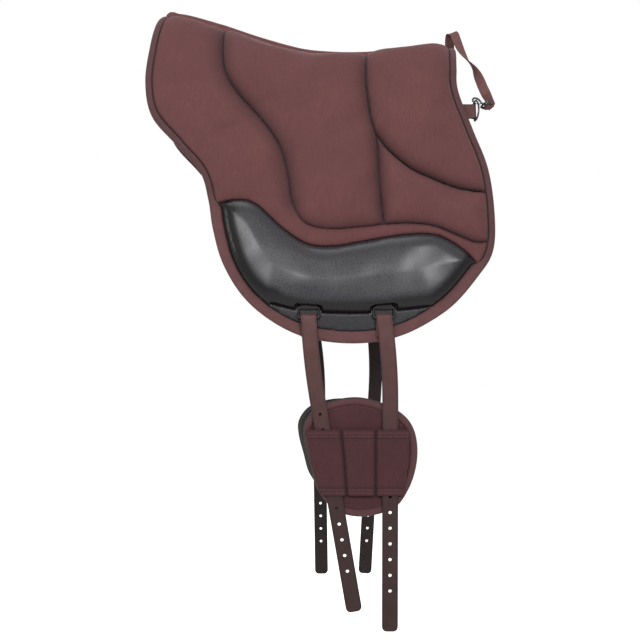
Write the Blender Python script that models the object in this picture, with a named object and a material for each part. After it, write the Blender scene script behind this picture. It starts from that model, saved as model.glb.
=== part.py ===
"""Bareback pad for a horse: a padded pad draped over the back, billets, billet guards and a tail strap.

The pad is drawn flat, as its maker cuts it, and then draped. Flat places are (along, drop, height): along the
horse's back, down the flap from the spine, and out from the horse's side. Near is the side at -Y, whose drop
is positive. The front, at the withers, is at -X. The origin is under the lining at the lowest point of the
spine. All lengths are in metres.
"""

import math

import bmesh
import bpy
from mathutils import Vector

# The pad as a whole
PAD_LENGTH = 0.566
FLAP_DROP = 0.536
WITHERS_RISE = 0.070
GAP = 0.0003
OVERRUN = 0.002
MITRE_share = 0.4
RUN_END_share = 0.15

# Layers, from the horse outwards
LINING = 0.0025
CORE = 0.0060
COVER = 0.0015
BINDING_TAPE = 0.0010
BINDING_WIDTH = 0.0110
CUSHION_MARGIN = 0.0145
PATCH_MARGIN = 0.0190
SPINE_STRIP_WIDTH = 0.028
SPINE_STRIP = 0.0020

# Padding: cover thickness, and how high and how softly each cushion rises
CUSHION_COVER = 0.0020
SEAM_WIDTH = 0.0012
PIPING_STEP = 0.0050
CELL = 0.038
FRONT_CROWN, FRONT_ROLL = 0.0050, 0.040
SEAT_CROWN, SEAT_ROLL = 0.0150, 0.048
CANTLE_CROWN, CANTLE_ROLL = 0.0190, 0.045
REAR_CROWN, REAR_ROLL = 0.0150, 0.040
PATCH_CROWN, PATCH_ROLL = 0.0150, 0.032
FOAM_MARGIN = 0.018
FOAM_share = 0.30
KEEP_share = 0.9
PATCH_FOAM_RAISE = 0.014

# Billets and the loops that they hang on
BILLET_WIDTH = 0.025
BILLET_LEATHER = 0.0030
NEAR_FRONT_BILLET = 0.466
NEAR_REAR_BILLET = 0.490
FAR_BILLET = 0.496
BILLET_FOLD = 0.030
BILLET_TIP = 0.008
BILLET_SETTLE = 0.136
HOLE_PITCH = 0.0245
HOLE_DIAMETER = 0.0052
LAST_HOLE = 0.063
HOLE_COUNT = 11
FRONT_LOOP_X = -0.0337
REAR_LOOP_X = 0.0842
LOOP_WIRE = 0.0040
LOOP_LENGTH = 0.0190
LOOP_STANDOFF = 0.0088
BAR_CLEARANCE = 0.0004
LOOP_SIDE_CLEARANCE = 0.0015
LOOP_CORNER = 0.0030
TAB_WEBBING = 0.0012
TAB_LENGTH = 0.0160
MOUTH_DEPTH = 0.0080
MOUTH_CLEARANCE = 0.0035
BAR_BELOW_FOOT = 0.0080

# Each billet's sideways slope at its bar, and below the bend
BILLET_SLOPE_SHARES = {
    "near_front": (0.050, 0.174),
    "near_rear": (0.143, -0.002),
    "far_front": (0.210, 0.015),
    "far_rear": (0.152, -0.055),
}

# Billet guards
GUARD_WIDTH = 0.180
GUARD_HEIGHT = 0.187
GUARD_DROP = 0.2190
NEAR_GUARD_X = 0.0474
FAR_GUARD_X = 0.0310
FAR_GUARD_SLIP = 0.030
GUARD_RIM_WIDTH = 0.012
GUARD_RIM_DEPTH = 0.014
GUARD_FOAM = 0.0070
GUARD_MESH = 0.0020
GUARD_COVER = 0.0020
GUARD_CLEARANCE = 0.0006
RIM_STEP = 0.0030
POCKET_PANEL = 0.0018
POCKET_SEAM = 0.0020
POCKET_RISE = 0.0020

# Rear D-rings, tail strap and snap
TAB_REACH = 0.0150
D_TAB_HEIGHT = 0.0250
D_TAB_DROP = 0.1660
D_TAB_WEBBING = 0.0013
D_WIRE = 0.0030
D_HEIGHT = 0.0370
D_DEPTH = 0.0180
D_CORNER_share = 0.3
NEAR_RING_TURN = 70
FAR_RING_TURN = 25
STRAP_WIDTH = 0.0160
STRAP_WEBBING = 0.0015
SNAP_WIRE = 0.0032
SNAP_BIGHT = 0.0046
SNAP_SHANK = 0.0125
SNAP_STEM = 0.0028
SNAP_HEAD = 0.0052
SNAP_HEAD_LENGTH = 0.0016
HOOK_SHARES = [(-1.0, 0.0), (-0.72, -0.55), (-0.40, -1.0), (0.0, -1.0)]
NOSE_share = 0.45
GATE_PIVOT_SHARES = (-0.85, 0.40)
GATE_TIP_share = 0.40
SNAP_AIM = (-1, 0, 0.22)
GATE_WIRE = 0.0018
EYE_BAR = 0.0022
EYE_WINDOW = 0.0058
EYE_DEPTH = 0.0046
EYE_WIDTH = 0.0230
EYE_BASE = 0.0020
STRAP_SEWN = 0.0100
STRAP_STITCHED = 0.0200
STRAP_OVERHANG = 0.0052
STRAP_RETURN = 0.0060
STRAP_TURN = 0.0025
STRAP_END = 0.0020
OPEN_share = 1.5

# How far the tail strap stands off the straight line from its sewn end to the snap's eye, at even steps along
# that line, as shares of the pad's length, and the way its width faces at each place
STRAP_SHARES = [(-0.0021, -0.0094, 0.0342), (-0.0111, -0.0005, 0.0752), (-0.0141, 0.0033, 0.0942)]
STRAP_SHARES += [(-0.0182, 0.0072, 0.0892), (-0.0192, 0.0081, 0.0772), (-0.0192, 0.0080, 0.0713)]
STRAP_SHARES += [(-0.0143, 0.0039, 0.0623), (-0.0113, -0.0012, 0.0463), (-0.0134, -0.0023, 0.0343)]
STRAP_SHARES += [(-0.0164, 0.0036, 0.0323)]
STRAP_WAYS = [(1, -0.1, 0.2), (1, -0.2, 0.4), (0.9, 0.2, 0.4), (0.9, 0.3, 0.4), (0.75, 0.6, 0.3)]
STRAP_WAYS += [(0.5, 0.85, 0.1), (0.0, 1.0, 0.0), (-0.7, 0.6, -0.3), (-0.94, 0.1, -0.34), (-0.8, 0.5, -0.3)]

# The half section: each stretch's share of the flap's drop, and its slope in degrees
SECTION_SHARES = [(0.036, 7), (0.036, 21), (0.036, 35), (0.036, 49), (0.036, 63)]
SECTION_SHARES += [(0.10, 73), (0.20, 77), (0.26, 80), (0.26, 83)]

# The spine line: along as a share of the pad's length, height as a share of the withers' rise
SPINE_SHARES = [(-0.530, 1.0), (-0.433, 0.90), (-0.318, 0.60), (-0.194, 0.28), (-0.088, 0.06)]
SPINE_SHARES += [(0.0, 0.0), (0.106, 0.0), (0.212, 0.08), (0.318, 0.17), (0.480, 0.22)]

# Flat outlines of the near side: shares of the pad's length and of the flap's drop
EDGE_SHARES = [(-0.502, 0.0), (-0.509, 0.075), (-0.526, 0.21), (-0.534, 0.33), (-0.511, 0.438)]
EDGE_SHARES += [(-0.435, 0.522), (-0.369, 0.582), (-0.344, 0.66), (-0.330, 0.743), (-0.300, 0.838)]
EDGE_SHARES += [(-0.240, 0.918), (-0.148, 0.968), (-0.018, 0.995), (0.117, 0.998), (0.226, 0.978)]
EDGE_SHARES += [(0.334, 0.920), (0.417, 0.826), (0.459, 0.752), (0.466, 0.640), (0.452, 0.500)]
EDGE_SHARES += [(0.412, 0.371), (0.375, 0.245), (0.374, 0.165), (0.381, 0.070), (0.381, 0.0)]
SWEEP_SHARES = [(-0.322, 0.0), (-0.314, 0.110), (-0.305, 0.228), (-0.263, 0.294), (-0.193, 0.358)]
SWEEP_SHARES += [(-0.141, 0.430), (-0.117, 0.520), (-0.106, 0.590), (-0.072, 0.645), (-0.005, 0.660)]
SWEEP_SHARES += [(0.080, 0.654), (0.152, 0.650)]
MIDDLE_SHARES = [(0.114, 0.0), (0.106, 0.182), (0.117, 0.305), (0.134, 0.386), (0.140, 0.510)]
MIDDLE_SHARES += [(0.148, 0.620), (0.152, 0.650)]
CANTLE_SHARES = [(0.132, 0.366), (0.170, 0.424), (0.233, 0.489), (0.320, 0.543), (0.383, 0.567)]
CANTLE_SHARES += [(0.440, 0.577)]
LOW_SHARES = [(0.152, 0.650), (0.216, 0.654), (0.288, 0.670), (0.359, 0.705), (0.408, 0.727)]
LOW_SHARES += [(0.444, 0.727)]
PATCH_SHARES = [(-0.318, 0.662), (-0.262, 0.631), (-0.208, 0.627), (-0.136, 0.675), (-0.064, 0.709)]
PATCH_SHARES += [(0.009, 0.712), (0.108, 0.695), (0.216, 0.688), (0.304, 0.702), (0.375, 0.750)]
PATCH_SHARES += [(0.412, 0.793)]
PATCH_FOOT_share = 0.912
FOOT_WIDTH_SHARES = (-0.160, 0.275)

# Guard outline, shares of its width and height from its middle, and the pocket's seams
GUARD_SHARES = [(0.0, 0.5), (0.26, 0.425), (0.42, 0.31), (0.49, 0.15), (0.49, -0.06), (0.42, -0.27)]
GUARD_SHARES += [(0.29, -0.43), (0.02, -0.5), (-0.21, -0.45), (-0.37, -0.28), (-0.44, -0.06), (-0.49, 0.13)]
GUARD_SHARES += [(-0.49, 0.27), (-0.40, 0.40), (-0.24, 0.475)]
POCKET_ROW_SHARES = (0.235, -0.04, -0.25, -0.315)
POCKET_LEFT_SHARES = (-0.485, -0.435, -0.370, -0.370)
POCKET_FIRST_SHARES = (-0.170, -0.140, -0.125, -0.120)
POCKET_SECOND_SHARES = (0.130, 0.130, 0.130, 0.130)
POCKET_RIGHT_SHARES = (0.430, 0.415, 0.385, 0.385)

NEAR, FAR = 1, -1


def finish(bm, name, paint, bend=None, origin=(0, 0, 0)):
    """Turn a bmesh into a named object: bend it, face it outwards and put its origin in place."""
    if bend:
        for vert in bm.verts:
            vert.co = bend(vert.co)
    bmesh.ops.recalc_face_normals(bm, faces=bm.faces)
    if bm.calc_volume(signed=True) < 0:
        bmesh.ops.reverse_faces(bm, faces=bm.faces)
    bmesh.ops.translate(bm, verts=bm.verts, vec=-Vector(origin))
    mesh = bpy.data.meshes.new(name)
    bm.to_mesh(mesh)
    bm.free()
    mesh.materials.append(paint)
    item = bpy.data.objects.new(name, mesh)
    item.location = origin
    bpy.context.scene.collection.objects.link(item)
    return item


def material(name, colour, roughness, metallic=0.0):
    paint = bpy.data.materials.new(name)
    paint.use_nodes = True
    shader = paint.node_tree.nodes["Principled BSDF"]
    shader.inputs["Base Color"].default_value = (*colour, 1)
    shader.inputs["Roughness"].default_value = roughness
    shader.inputs["Metallic"].default_value = metallic
    return paint


def between(knots, place):
    """Read a table of (place, value) pairs, straight between its knots and past its ends."""
    index = 1
    while index < len(knots) - 1 and place > knots[index][0]:
        index += 1
    (low, first), (high, last) = knots[index - 1], knots[index]
    return first + (last - first) * (place - low) / (high - low)


def section_knots():
    """The half section's corners: drop, across, height, and the mitred outward direction."""
    corners = [(0.0, 0.0, 0.0)]
    slopes = [-math.radians(SECTION_SHARES[0][1])]
    for share, degrees in SECTION_SHARES:
        drop, across, height = corners[-1]
        slope = math.radians(degrees)
        run = share * FLAP_DROP
        corners.append((drop + run, across + run * math.cos(slope), height - run * math.sin(slope)))
        slopes.append(slope)
    slopes.append(slopes[-1])
    knots = []
    for corner, before, after in zip(corners, slopes, slopes[1:]):
        mean = (before + after) / 2
        stretch = 1 / math.cos((after - before) / 2)
        knots.append((*corner, math.sin(mean) * stretch, math.cos(mean) * stretch))
    return knots


KNOTS = section_knots()
ACROSS, HEIGHT, OUT_ACROSS, OUT_HEIGHT = ([(knot[0], knot[i]) for knot in KNOTS] for i in range(1, 5))
SPINE = [(along * PAD_LENGTH, rise * WITHERS_RISE) for along, rise in SPINE_SHARES]
STACK = LINING + GAP + CORE + GAP + COVER
ON_COVER = STACK + GAP


def drape(place):
    """Take a flat place (along, drop, height) to its place on the horse."""
    along, drop, height = place
    depth = abs(drop)
    across = between(ACROSS, depth) + height * between(OUT_ACROSS, depth)
    up = between(SPINE, along) + between(HEIGHT, depth) + height * between(OUT_HEIGHT, depth)
    return Vector((along, -math.copysign(across, drop) if drop else 0.0, up))


def drop_at(along, up, height):
    """The drop at which the near side, at this height over the lining's underside, is this far up."""
    low, high = 0.0, FLAP_DROP
    for _ in range(40):
        middle = (low + high) / 2
        if drape((along, middle, height)).z > up:
            low = middle
        else:
            high = middle
    return low


def smooth(points, step):
    """A smooth curve through the points, as a polyline with about this step."""
    points = [Vector(p) for p in points]
    ends = [points[0] * 2 - points[1], *points, points[-1] * 2 - points[-2]]
    line = []
    for a, b, c, d in zip(ends, ends[1:], ends[2:], ends[3:]):
        count = max(1, round((c - b).length / step))
        for index in range(count):
            t = index / count
            bend = (2 * a - 5 * b + 4 * c - d) * t**2 + (3 * b - a - 3 * c + d) * t**3
            line.append(b + ((c - a) * t + bend) / 2)
    return [*line, points[-1]]


def flat(shares):
    return [(along * PAD_LENGTH, drop * FLAP_DROP) for along, drop in shares]


def shifted(line, distance, closed=False):
    """The line moved sideways by this distance, to the left of its run, with mitred corners."""
    moved = []
    count = len(line)
    for index, point in enumerate(line):
        before = line[index - 1] if index or closed else point
        after = line[(index + 1) % count] if index < count - 1 or closed else point
        pairs = ((before, point), (point, after))
        ways = [(end - start).normalized() for start, end in pairs if end != start]
        way = (ways[0] + ways[-1]).normalized()
        side = Vector((-way.y, way.x))
        moved.append(point + side * distance / max(MITRE_share, way.dot(ways[0])))
    return moved


def nearest(line, point):
    """How far along the line, in points, its nearest place to this point is."""
    best = (math.inf, 0.0)
    for index, (a, b) in enumerate(zip(line, line[1:])):
        run = b - a
        t = min(1.0, max(0.0, (Vector(point) - a).dot(run) / run.length_squared))
        best = min(best, ((a + run * t - Vector(point)).length, index + t))
    return best[1]


def run_of(line, start, end):
    """The stretch of the line between its nearest places to two points, in that direction."""
    first, last = nearest(line, start), nearest(line, end)

    def at(place):
        index = min(int(place), len(line) - 2)
        return line[index].lerp(line[index + 1], place - index)

    low, high = min(first, last), max(first, last)
    inner = [line[i] for i in range(len(line)) if low + RUN_END_share < i < high - RUN_END_share]
    run = [at(low), *inner, at(high)]
    return run if first < last else run[::-1]


def spaced(knots, cell):
    """The places of the knots, with even places between them no further apart than the cell."""
    places = []
    for a, b in zip(knots, knots[1:]):
        count = max(1, math.ceil((b - a) / cell - 1e-6))
        places += [a + (b - a) * index / count for index in range(count)]
    return [*places, knots[-1]]


def cut_flat(bm, cell):
    """Cut a flat mesh along every fold line of the draped pad, and at least once a cell."""
    drops = spaced([knot[0] for knot in KNOTS], cell)
    alongs = spaced([along for along, _ in SPINE], cell)
    planes = [((along, 0, 0), (1, 0, 0)) for along in alongs]
    planes += [((0, side * drop, 0), (0, 1, 0)) for drop in drops for side in (NEAR, FAR)]
    for place, normal in planes:
        geometry = bm.verts[:] + bm.edges[:] + bm.faces[:]
        bmesh.ops.bisect_plane(bm, geom=geometry, dist=GAP / 2, plane_co=place, plane_no=normal)
    bmesh.ops.triangulate(bm, faces=bm.faces)


def flat_mesh(outline, cell, rows=()):
    bm = bmesh.new()
    face = bm.faces.new([bm.verts.new((*point, 0)) for point in outline])
    face.normal_update()
    for row in rows:
        bmesh.ops.inset_region(bm, faces=[face], thickness=row, use_boundary=True)
    cut_flat(bm, cell)
    return bm


def depth_inside(outline, point):
    """How far inside a closed outline the point lies, or zero outside it."""
    inside = False
    depth = math.inf
    for a, b in zip(outline, [*outline[1:], outline[0]]):
        if (a.y > point.y) != (b.y > point.y) and point.x < a.x + (b.x - a.x) * (point.y - a.y) / (b.y - a.y):
            inside = not inside
        run = b - a
        t = min(1.0, max(0.0, (point - a).dot(run) / run.length_squared))
        depth = min(depth, (a + run * t - point).length)
    return depth if inside else 0.0


def crown(outline, height, roll):
    """A padded rise: round at the seam, and flat once the roll is passed."""

    def rise(along, drop):
        depth = min(depth_inside(outline, Vector((along, abs(drop)))) / roll, 1.0)
        return height * math.sqrt(1 - (1 - depth) ** 2)

    return rise


def sheet(name, outline, side, low, thick, paint, rise=None, floor=False, cell=math.inf, rows=()):
    """One draped layer: its flat outline, the height of its underside, its thickness and its padded rise."""
    bm = flat_mesh(outline, cell, rows)
    bottom = bm.verts[:]
    made = bmesh.ops.extrude_face_region(bm, geom=bm.faces[:])["geom"]
    top = [item for item in made if isinstance(item, bmesh.types.BMVert)]
    for vert in bottom:
        lift = rise(vert.co.x, vert.co.y) if rise and not floor else 0.0
        vert.co.z = low + lift
    for vert in top:
        vert.co.z = low + thick + (rise(vert.co.x, vert.co.y) if rise else 0.0)
    for vert in bm.verts:
        vert.co.y *= side
    return finish(bm, name, paint, bend=drape)


def strap(sections, name, paint, origin=(0, 0, 0)):
    """A flat strap through four-cornered sections, closed at both ends."""
    bm = bmesh.new()
    rings = [[bm.verts.new(corner) for corner in section] for section in sections]
    bm.faces.new(rings[0])
    bm.faces.new(rings[-1])
    for before, after in zip(rings, rings[1:]):
        for index in range(4):
            bm.faces.new((before[index - 1], before[index], after[index], after[index - 1]))
    bmesh.ops.triangulate(bm, faces=bm.faces)
    return finish(bm, name, paint, origin=origin)


def section_of(centre, across, out, width, thick):
    """Four corners round a centre: across is the strap's width, out its face."""
    a, o = across.normalized() * width / 2, out.normalized() * thick / 2
    return [centre + a + o, centre - a + o, centre - a - o, centre + a - o]


def wire(name, points, diameter, paint, origin, closed=True, sides=2, swell=None):
    """A round wire along a polyline."""
    curve = bpy.data.curves.new(name, "CURVE")
    curve.dimensions = "3D"
    curve.bevel_depth = diameter / 2
    curve.bevel_resolution = sides
    curve.use_fill_caps = not closed
    spline = curve.splines.new("POLY")
    spline.points.add(len(points) - 1)
    for index, point in enumerate(points):
        spline.points[index].co = (*(Vector(point) - Vector(origin)), 1)
        spline.points[index].radius = swell[index] if swell else 1.0
    spline.use_cyclic_u = closed
    curve.materials.append(paint)
    item = bpy.data.objects.new(name, curve)
    item.location = origin
    bpy.context.scene.collection.objects.link(item)
    return item


def cutter(bm, name):
    item = finish(bm, name, MATERIALS["guide"])
    item.hide_render = True
    item.display_type = "WIRE"
    return item


def cut(item, tool):
    change = item.modifiers.new("cut " + tool.name, "BOOLEAN")
    change.object = tool


def box(bm, frame, low, high):
    """A box between two corners given in a frame of an origin and three directions."""
    start, u, v, w = frame
    corners = []
    for x in (low[0], high[0]):
        for y in (low[1], high[1]):
            for z in (low[2], high[2]):
                corners.append(bm.verts.new(start + u * x + v * y + w * z))
    for face in ((0, 1, 3, 2), (4, 6, 7, 5), (0, 4, 5, 1), (2, 3, 7, 6), (0, 2, 6, 4), (1, 5, 7, 3)):
        bm.faces.new([corners[index] for index in face])


MATERIALS = {
    "guide": ((1, 1, 1), 1, 0),
    "suede": ((0.171, 0.070, 0.071), 0.9, 0),
    "binding": ((0.147, 0.060, 0.060), 0.85, 0),
    "lining": ((0.020, 0.017, 0.017), 0.9, 0),
    "foam": ((0.35, 0.33, 0.30), 0.95, 0),
    "black patch": ((0.012, 0.012, 0.014), 0.35, 0),
    "billet": ((0.110, 0.058, 0.052), 0.5, 0),
    "mesh": ((0.015, 0.014, 0.014), 0.7, 0),
    "webbing": ((0.115, 0.060, 0.058), 0.8, 0),
    "metal": ((0.16, 0.16, 0.17), 0.3, 1),
}


def outlines():
    """The near side's seam lines and panel outlines, all in the flat."""
    edge = smooth(flat(EDGE_SHARES), CELL)
    inner = shifted(edge, -CUSHION_MARGIN)
    sweep, middle, cantle, low = (
        smooth(flat(shares), CELL) for shares in (SWEEP_SHARES, MIDDLE_SHARES, CANTLE_SHARES, LOW_SHARES)
    )
    patch_top = smooth(flat(PATCH_SHARES), CELL)
    strip_side = SPINE_STRIP_WIDTH / 2 + SEAM_WIDTH
    sweep_top, middle_top = Vector((sweep[0].x, strip_side)), Vector((middle[0].x, strip_side))
    rear_top = run_of(inner, inner[-1], (inner[-1].x, strip_side))[-1]
    front_top = run_of(inner, inner[0], (inner[0].x, strip_side))[-1]
    corner, low_end = sweep[-1], low[-1]
    junction = cantle[0]
    front_panel = [front_top, *run_of(inner, front_top, patch_top[0])[1:], *patch_top[1:-1]]
    front_panel += [*run_of(inner, patch_top[-1], low_end), *low[::-1][1:], *sweep[::-1][1:-1], sweep_top]
    seat = [sweep_top, *sweep[1:], *run_of(middle, corner, middle_top)[1:-1], middle_top]
    cantle_panel = [middle_top, *run_of(middle, middle_top, junction)[1:-1], *cantle[:-1]]
    cantle_panel += run_of(inner, cantle[-1], rear_top)
    rear = [*run_of(middle, junction, corner)[:-1], *low[:-1]]
    rear += [*run_of(inner, low_end, cantle[-1]), *cantle[::-1][1:-1]]
    return edge, patch_top, {"front": front_panel, "seat": seat, "cantle": cantle_panel, "rear": rear}


def seamed(outline, distance=SEAM_WIDTH / 2):
    """A closed outline drawn in by half a seam, whichever way it runs."""
    area = sum(a.cross(b) for a, b in zip(outline, [*outline[1:], outline[0]]))
    return shifted(outline, math.copysign(distance, area), closed=True)


def foam_outline(outline):
    """A panel's outline drawn in by the foam's margin, without the points that cross over in its corners."""
    line = seamed(outline, FOAM_MARGIN)
    return [point for point in line if depth_inside(outline, point) > FOAM_MARGIN * KEEP_share]


def half(edge, distance, start):
    """The near half of the pad's outline drawn in by a distance, closed along a line beside the spine."""
    line = shifted(edge, -distance)
    front, rear = Vector((line[0].x, start)), Vector((line[-1].x, start))
    inner = [point for point in line if point.y > start + GAP]
    return [front, *inner, rear]


def both(edge, distance):
    """The outline of both flaps drawn in by a distance."""
    line = shifted(edge, -distance)
    return line + [Vector((point.x, -point.y)) for point in line[-2:0:-1]]


def make_layers(edge):
    """Lining, foam cores and covers: the layers under the cushions."""
    reach = BINDING_TAPE + GAP
    sheet("lining", both(edge, reach), NEAR, 0.0, LINING, MATERIALS["lining"])
    for label, side in (("near", NEAR), ("far", FAR)):
        outline = half(edge, reach, GAP / 2)
        core = LINING + GAP
        sheet(f"foam_core_{label}", outline, side, core, CORE, MATERIALS["foam"])
        sheet(f"cover_{label}", outline, side, core + CORE + GAP, COVER, MATERIALS["suede"])


def make_binding(edge):
    """Tape folded round the edge: two flanges and the fold between them."""
    loops = [both(edge, distance) for distance in (0.0, BINDING_TAPE, BINDING_WIDTH)]
    bm = bmesh.new()
    rings = [[bm.verts.new((*point, 0)) for point in loop] for loop in loops]
    for zone, (outer, inner) in enumerate(zip(rings, rings[1:])):
        for index in range(len(outer)):
            face = bm.faces.new((outer[index - 1], outer[index], inner[index], inner[index - 1]))
            face.material_index = zone
    cut_flat(bm, math.inf)
    levels = (-GAP - BINDING_TAPE, -GAP, STACK + GAP, STACK + GAP + BINDING_TAPE)
    tape = bmesh.new()
    made = {}

    def vert(source, level):
        key = (source.index, level)
        if key not in made:
            made[key] = tape.verts.new((source.co.x, source.co.y, levels[level]))
        return made[key]

    bm.verts.index_update()
    for face in bm.faces:
        for level in (0, 3) if face.material_index == 0 else (0, 1, 2, 3):
            tape.faces.new([vert(corner, level) for corner in face.verts])
    for seam in bm.edges:
        zones = {face.material_index for face in seam.link_faces}
        walls = []
        if len(seam.link_faces) == 1:
            walls = [(0, 3)] if zones == {0} else [(0, 1), (2, 3)]
        elif len(zones) == 2:
            walls = [(1, 2)]
        a, b = seam.verts
        for low, high in walls:
            tape.faces.new((vert(a, low), vert(b, low), vert(b, high), vert(a, high)))
    bm.free()
    bmesh.ops.triangulate(tape, faces=tape.faces)
    finish(tape, "edge_binding", MATERIALS["binding"], bend=drape)


def make_spine_strip(edge):
    line = shifted(edge, -(BINDING_WIDTH + GAP))
    wide = SPINE_STRIP_WIDTH / 2
    ends = (line[0].x, line[-1].x)
    outline = [Vector((ends[x], wide * side)) for x, side in ((0, -1), (1, -1), (1, 1), (0, 1))]
    sheet("spine_strip", outline, NEAR, ON_COVER, SPINE_STRIP, MATERIALS["suede"])


def make_cushions(panels):
    """Sewn cushions, each a padded cover over a slab of foam, and the thin padded front panel."""
    sizes = {
        "seat": (SEAT_CROWN, SEAT_ROLL, (PIPING_STEP,)),
        "cantle": (CANTLE_CROWN, CANTLE_ROLL, (PIPING_STEP,)),
        "rear": (REAR_CROWN, REAR_ROLL, ()),
    }
    for name, (height, roll, rows) in sizes.items():
        outline = seamed(panels[name])
        rise = crown(outline, height, roll)
        foam = foam_outline(panels[name])
        for label, side in (("near", NEAR), ("far", FAR)):
            sheet(
                f"{name}_cushion_{label}", outline, side, ON_COVER, CUSHION_COVER, MATERIALS["suede"], rise,
                cell=CELL, rows=rows,
            )
            sheet(f"{name}_foam_{label}", foam, side, ON_COVER, height * FOAM_share, MATERIALS["foam"])
    outline = seamed(panels["front"])
    rise = crown(outline, FRONT_CROWN, FRONT_ROLL)
    for label, side in (("near", NEAR), ("far", FAR)):
        sheet(
            f"front_panel_{label}", outline, side, ON_COVER, CUSHION_COVER, MATERIALS["suede"], rise,
            floor=True, cell=CELL,
        )


def patch_outline(edge, patch_top, foot, mouths):
    """The black patch: its top seam, the pad's edge drawn in, and a straight foot with loop mouths."""
    line = shifted(edge, -PATCH_MARGIN)
    left, right = (Vector((share * PAD_LENGTH, foot)) for share in FOOT_WIDTH_SHARES)
    start, end = patch_top[0], patch_top[-1]
    outline = [start, *run_of(line, start, left)[1:-1], left]
    half_mouth = BILLET_WIDTH / 2 + LOOP_SIDE_CLEARANCE + LOOP_WIRE + MOUTH_CLEARANCE / 2
    for middle in mouths:
        for along, up in ((-1, 0), (-1, 1), (1, 1), (1, 0)):
            outline.append(Vector((middle + along * half_mouth, foot - up * MOUTH_DEPTH)))
    outline += [right, *run_of(line, right, end)[1:-1], end]
    return outline + patch_top[::-1][1:-1]


def make_patch(edge, patch_top):
    foot = PATCH_FOOT_share * FLAP_DROP
    mouths = (FRONT_LOOP_X, REAR_LOOP_X)
    whole = seamed(patch_outline(edge, patch_top, foot, ()))
    outline = seamed(patch_outline(edge, patch_top, foot, mouths))
    rise = crown(whole, PATCH_CROWN, PATCH_ROLL)
    foam = foam_outline(patch_outline(edge, patch_top, foot - PATCH_FOAM_RAISE, ()))
    line = shifted(edge, -(BINDING_WIDTH + GAP))
    top = foot + SEAM_WIDTH
    first = min(point.x for point in line if point.y > top)
    last = max(point.x for point in line if point.y > top)
    lower = [point for point in line if point.y > top + OVERRUN]
    strip = [crossing(line, top, first), *lower, crossing(line, top, last)]
    for label, side in (("near", NEAR), ("far", FAR)):
        sheet(
            f"knee_patch_{label}", outline, side, ON_COVER, CUSHION_COVER, MATERIALS["black patch"], rise,
            cell=CELL, rows=(PIPING_STEP,),
        )
        sheet(f"patch_foam_{label}", foam, side, ON_COVER, PATCH_CROWN * FOAM_share, MATERIALS["foam"])
        sheet(f"patch_strip_{label}", strip, side, ON_COVER, COVER, MATERIALS["black patch"])


def crossing(line, drop, along):
    """Where the line crosses this drop, nearest to this along."""
    found = []
    for a, b in zip(line, line[1:]):
        if (a.y - drop) * (b.y - drop) < 0:
            found.append(a.lerp(b, (drop - a.y) / (b.y - a.y)))
    return min(found, key=lambda point: abs(point.x - along))


def billet_axis():
    """The bars' shared centre line at the near side: how far across and how far up."""
    middle = (FRONT_LOOP_X + REAR_LOOP_X) / 2
    bar = drape((middle, PATCH_FOOT_share * FLAP_DROP + BAR_BELOW_FOOT, STACK + LOOP_STANDOFF))
    return -bar.y, bar.z


def loop_points(along, side):
    """The rectangular loop's centre line, from the bar up to the tab, with round corners."""
    across, up = billet_axis()
    bar = Vector((along, -side * across, up))
    tab_drop = drop_at(along, up + LOOP_LENGTH - LOOP_WIRE, STACK)
    lift = STACK + GAP + TAB_WEBBING + BAR_CLEARANCE + LOOP_WIRE / 2
    tab = drape((along, side * tab_drop, lift))
    way = (tab - bar).normalized()
    wide = Vector((BILLET_WIDTH / 2 + LOOP_SIDE_CLEARANCE + LOOP_WIRE / 2, 0, 0))
    along_way = way * (tab - bar).length
    middle = bar + along_way / 2
    points = []
    wide_way = wide.normalized()
    for x, y in ((1, -1), (1, 1), (-1, 1), (-1, -1)):
        corner = middle + wide * x + along_way / 2 * y - (wide_way * x + way * y) * LOOP_CORNER
        first = 0 if x * y > 0 else 90
        for step in (0, 30, 60, 90):
            turn = math.radians(abs(first - step))
            round_way = wide_way * x * math.cos(turn) + way * y * math.sin(turn)
            points.append(corner + round_way * LOOP_CORNER)
    return points, bar, tab


def make_loop(label, along, side):
    points, bar, tab = loop_points(along, side)
    wire(f"billet_loop_{label}", points, LOOP_WIRE, MATERIALS["metal"], bar, sides=1)
    reach = LOOP_WIRE / 2 + BAR_CLEARANCE + TAB_WEBBING / 2
    foot = side * PATCH_FOOT_share * FLAP_DROP
    out = (drape((along, foot, STACK)) - drape((along, foot, 0))).normalized()
    down = (drape((along, foot + side * OVERRUN, 0)) - drape((along, foot, 0))).normalized()
    path = [(tab - down * TAB_LENGTH - out * reach, out), (tab - down * reach * 2 - out * reach, out)]
    for degrees in (-90, -45, 0, 45, 90):
        turn = math.radians(degrees)
        way = down * math.cos(turn) + out * math.sin(turn)
        path.append((tab + way * reach, -way))
    above = reach - TAB_WEBBING - GAP * 2
    path.append((tab - down * TAB_LENGTH / 2 - out * above, -out))
    path.append((tab - down * TAB_LENGTH - out * above, -out))
    sections = [section_of(place, Vector((1, 0, 0)), way, BILLET_WIDTH, TAB_WEBBING) for place, way in path]
    strap(sections, f"loop_tab_{label}", MATERIALS["webbing"])


def billet_path(along, side, start_slope, end_slope):
    """Where the billet's front layer runs: a function of the drop below the bar."""
    across, up = billet_axis()
    front = across + LOOP_WIRE / 2 + BAR_CLEARANCE + BILLET_LEATHER / 2

    def at(drop):
        settle = min(drop, BILLET_SETTLE)
        sway = start_slope * settle + (end_slope - start_slope) * settle**2 / (2 * BILLET_SETTLE)
        sway += end_slope * (drop - settle)
        slope = start_slope + (end_slope - start_slope) * settle / BILLET_SETTLE
        return Vector((along + sway, -side * front, up - drop)), Vector((1, 0, slope)).normalized()

    return at


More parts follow.
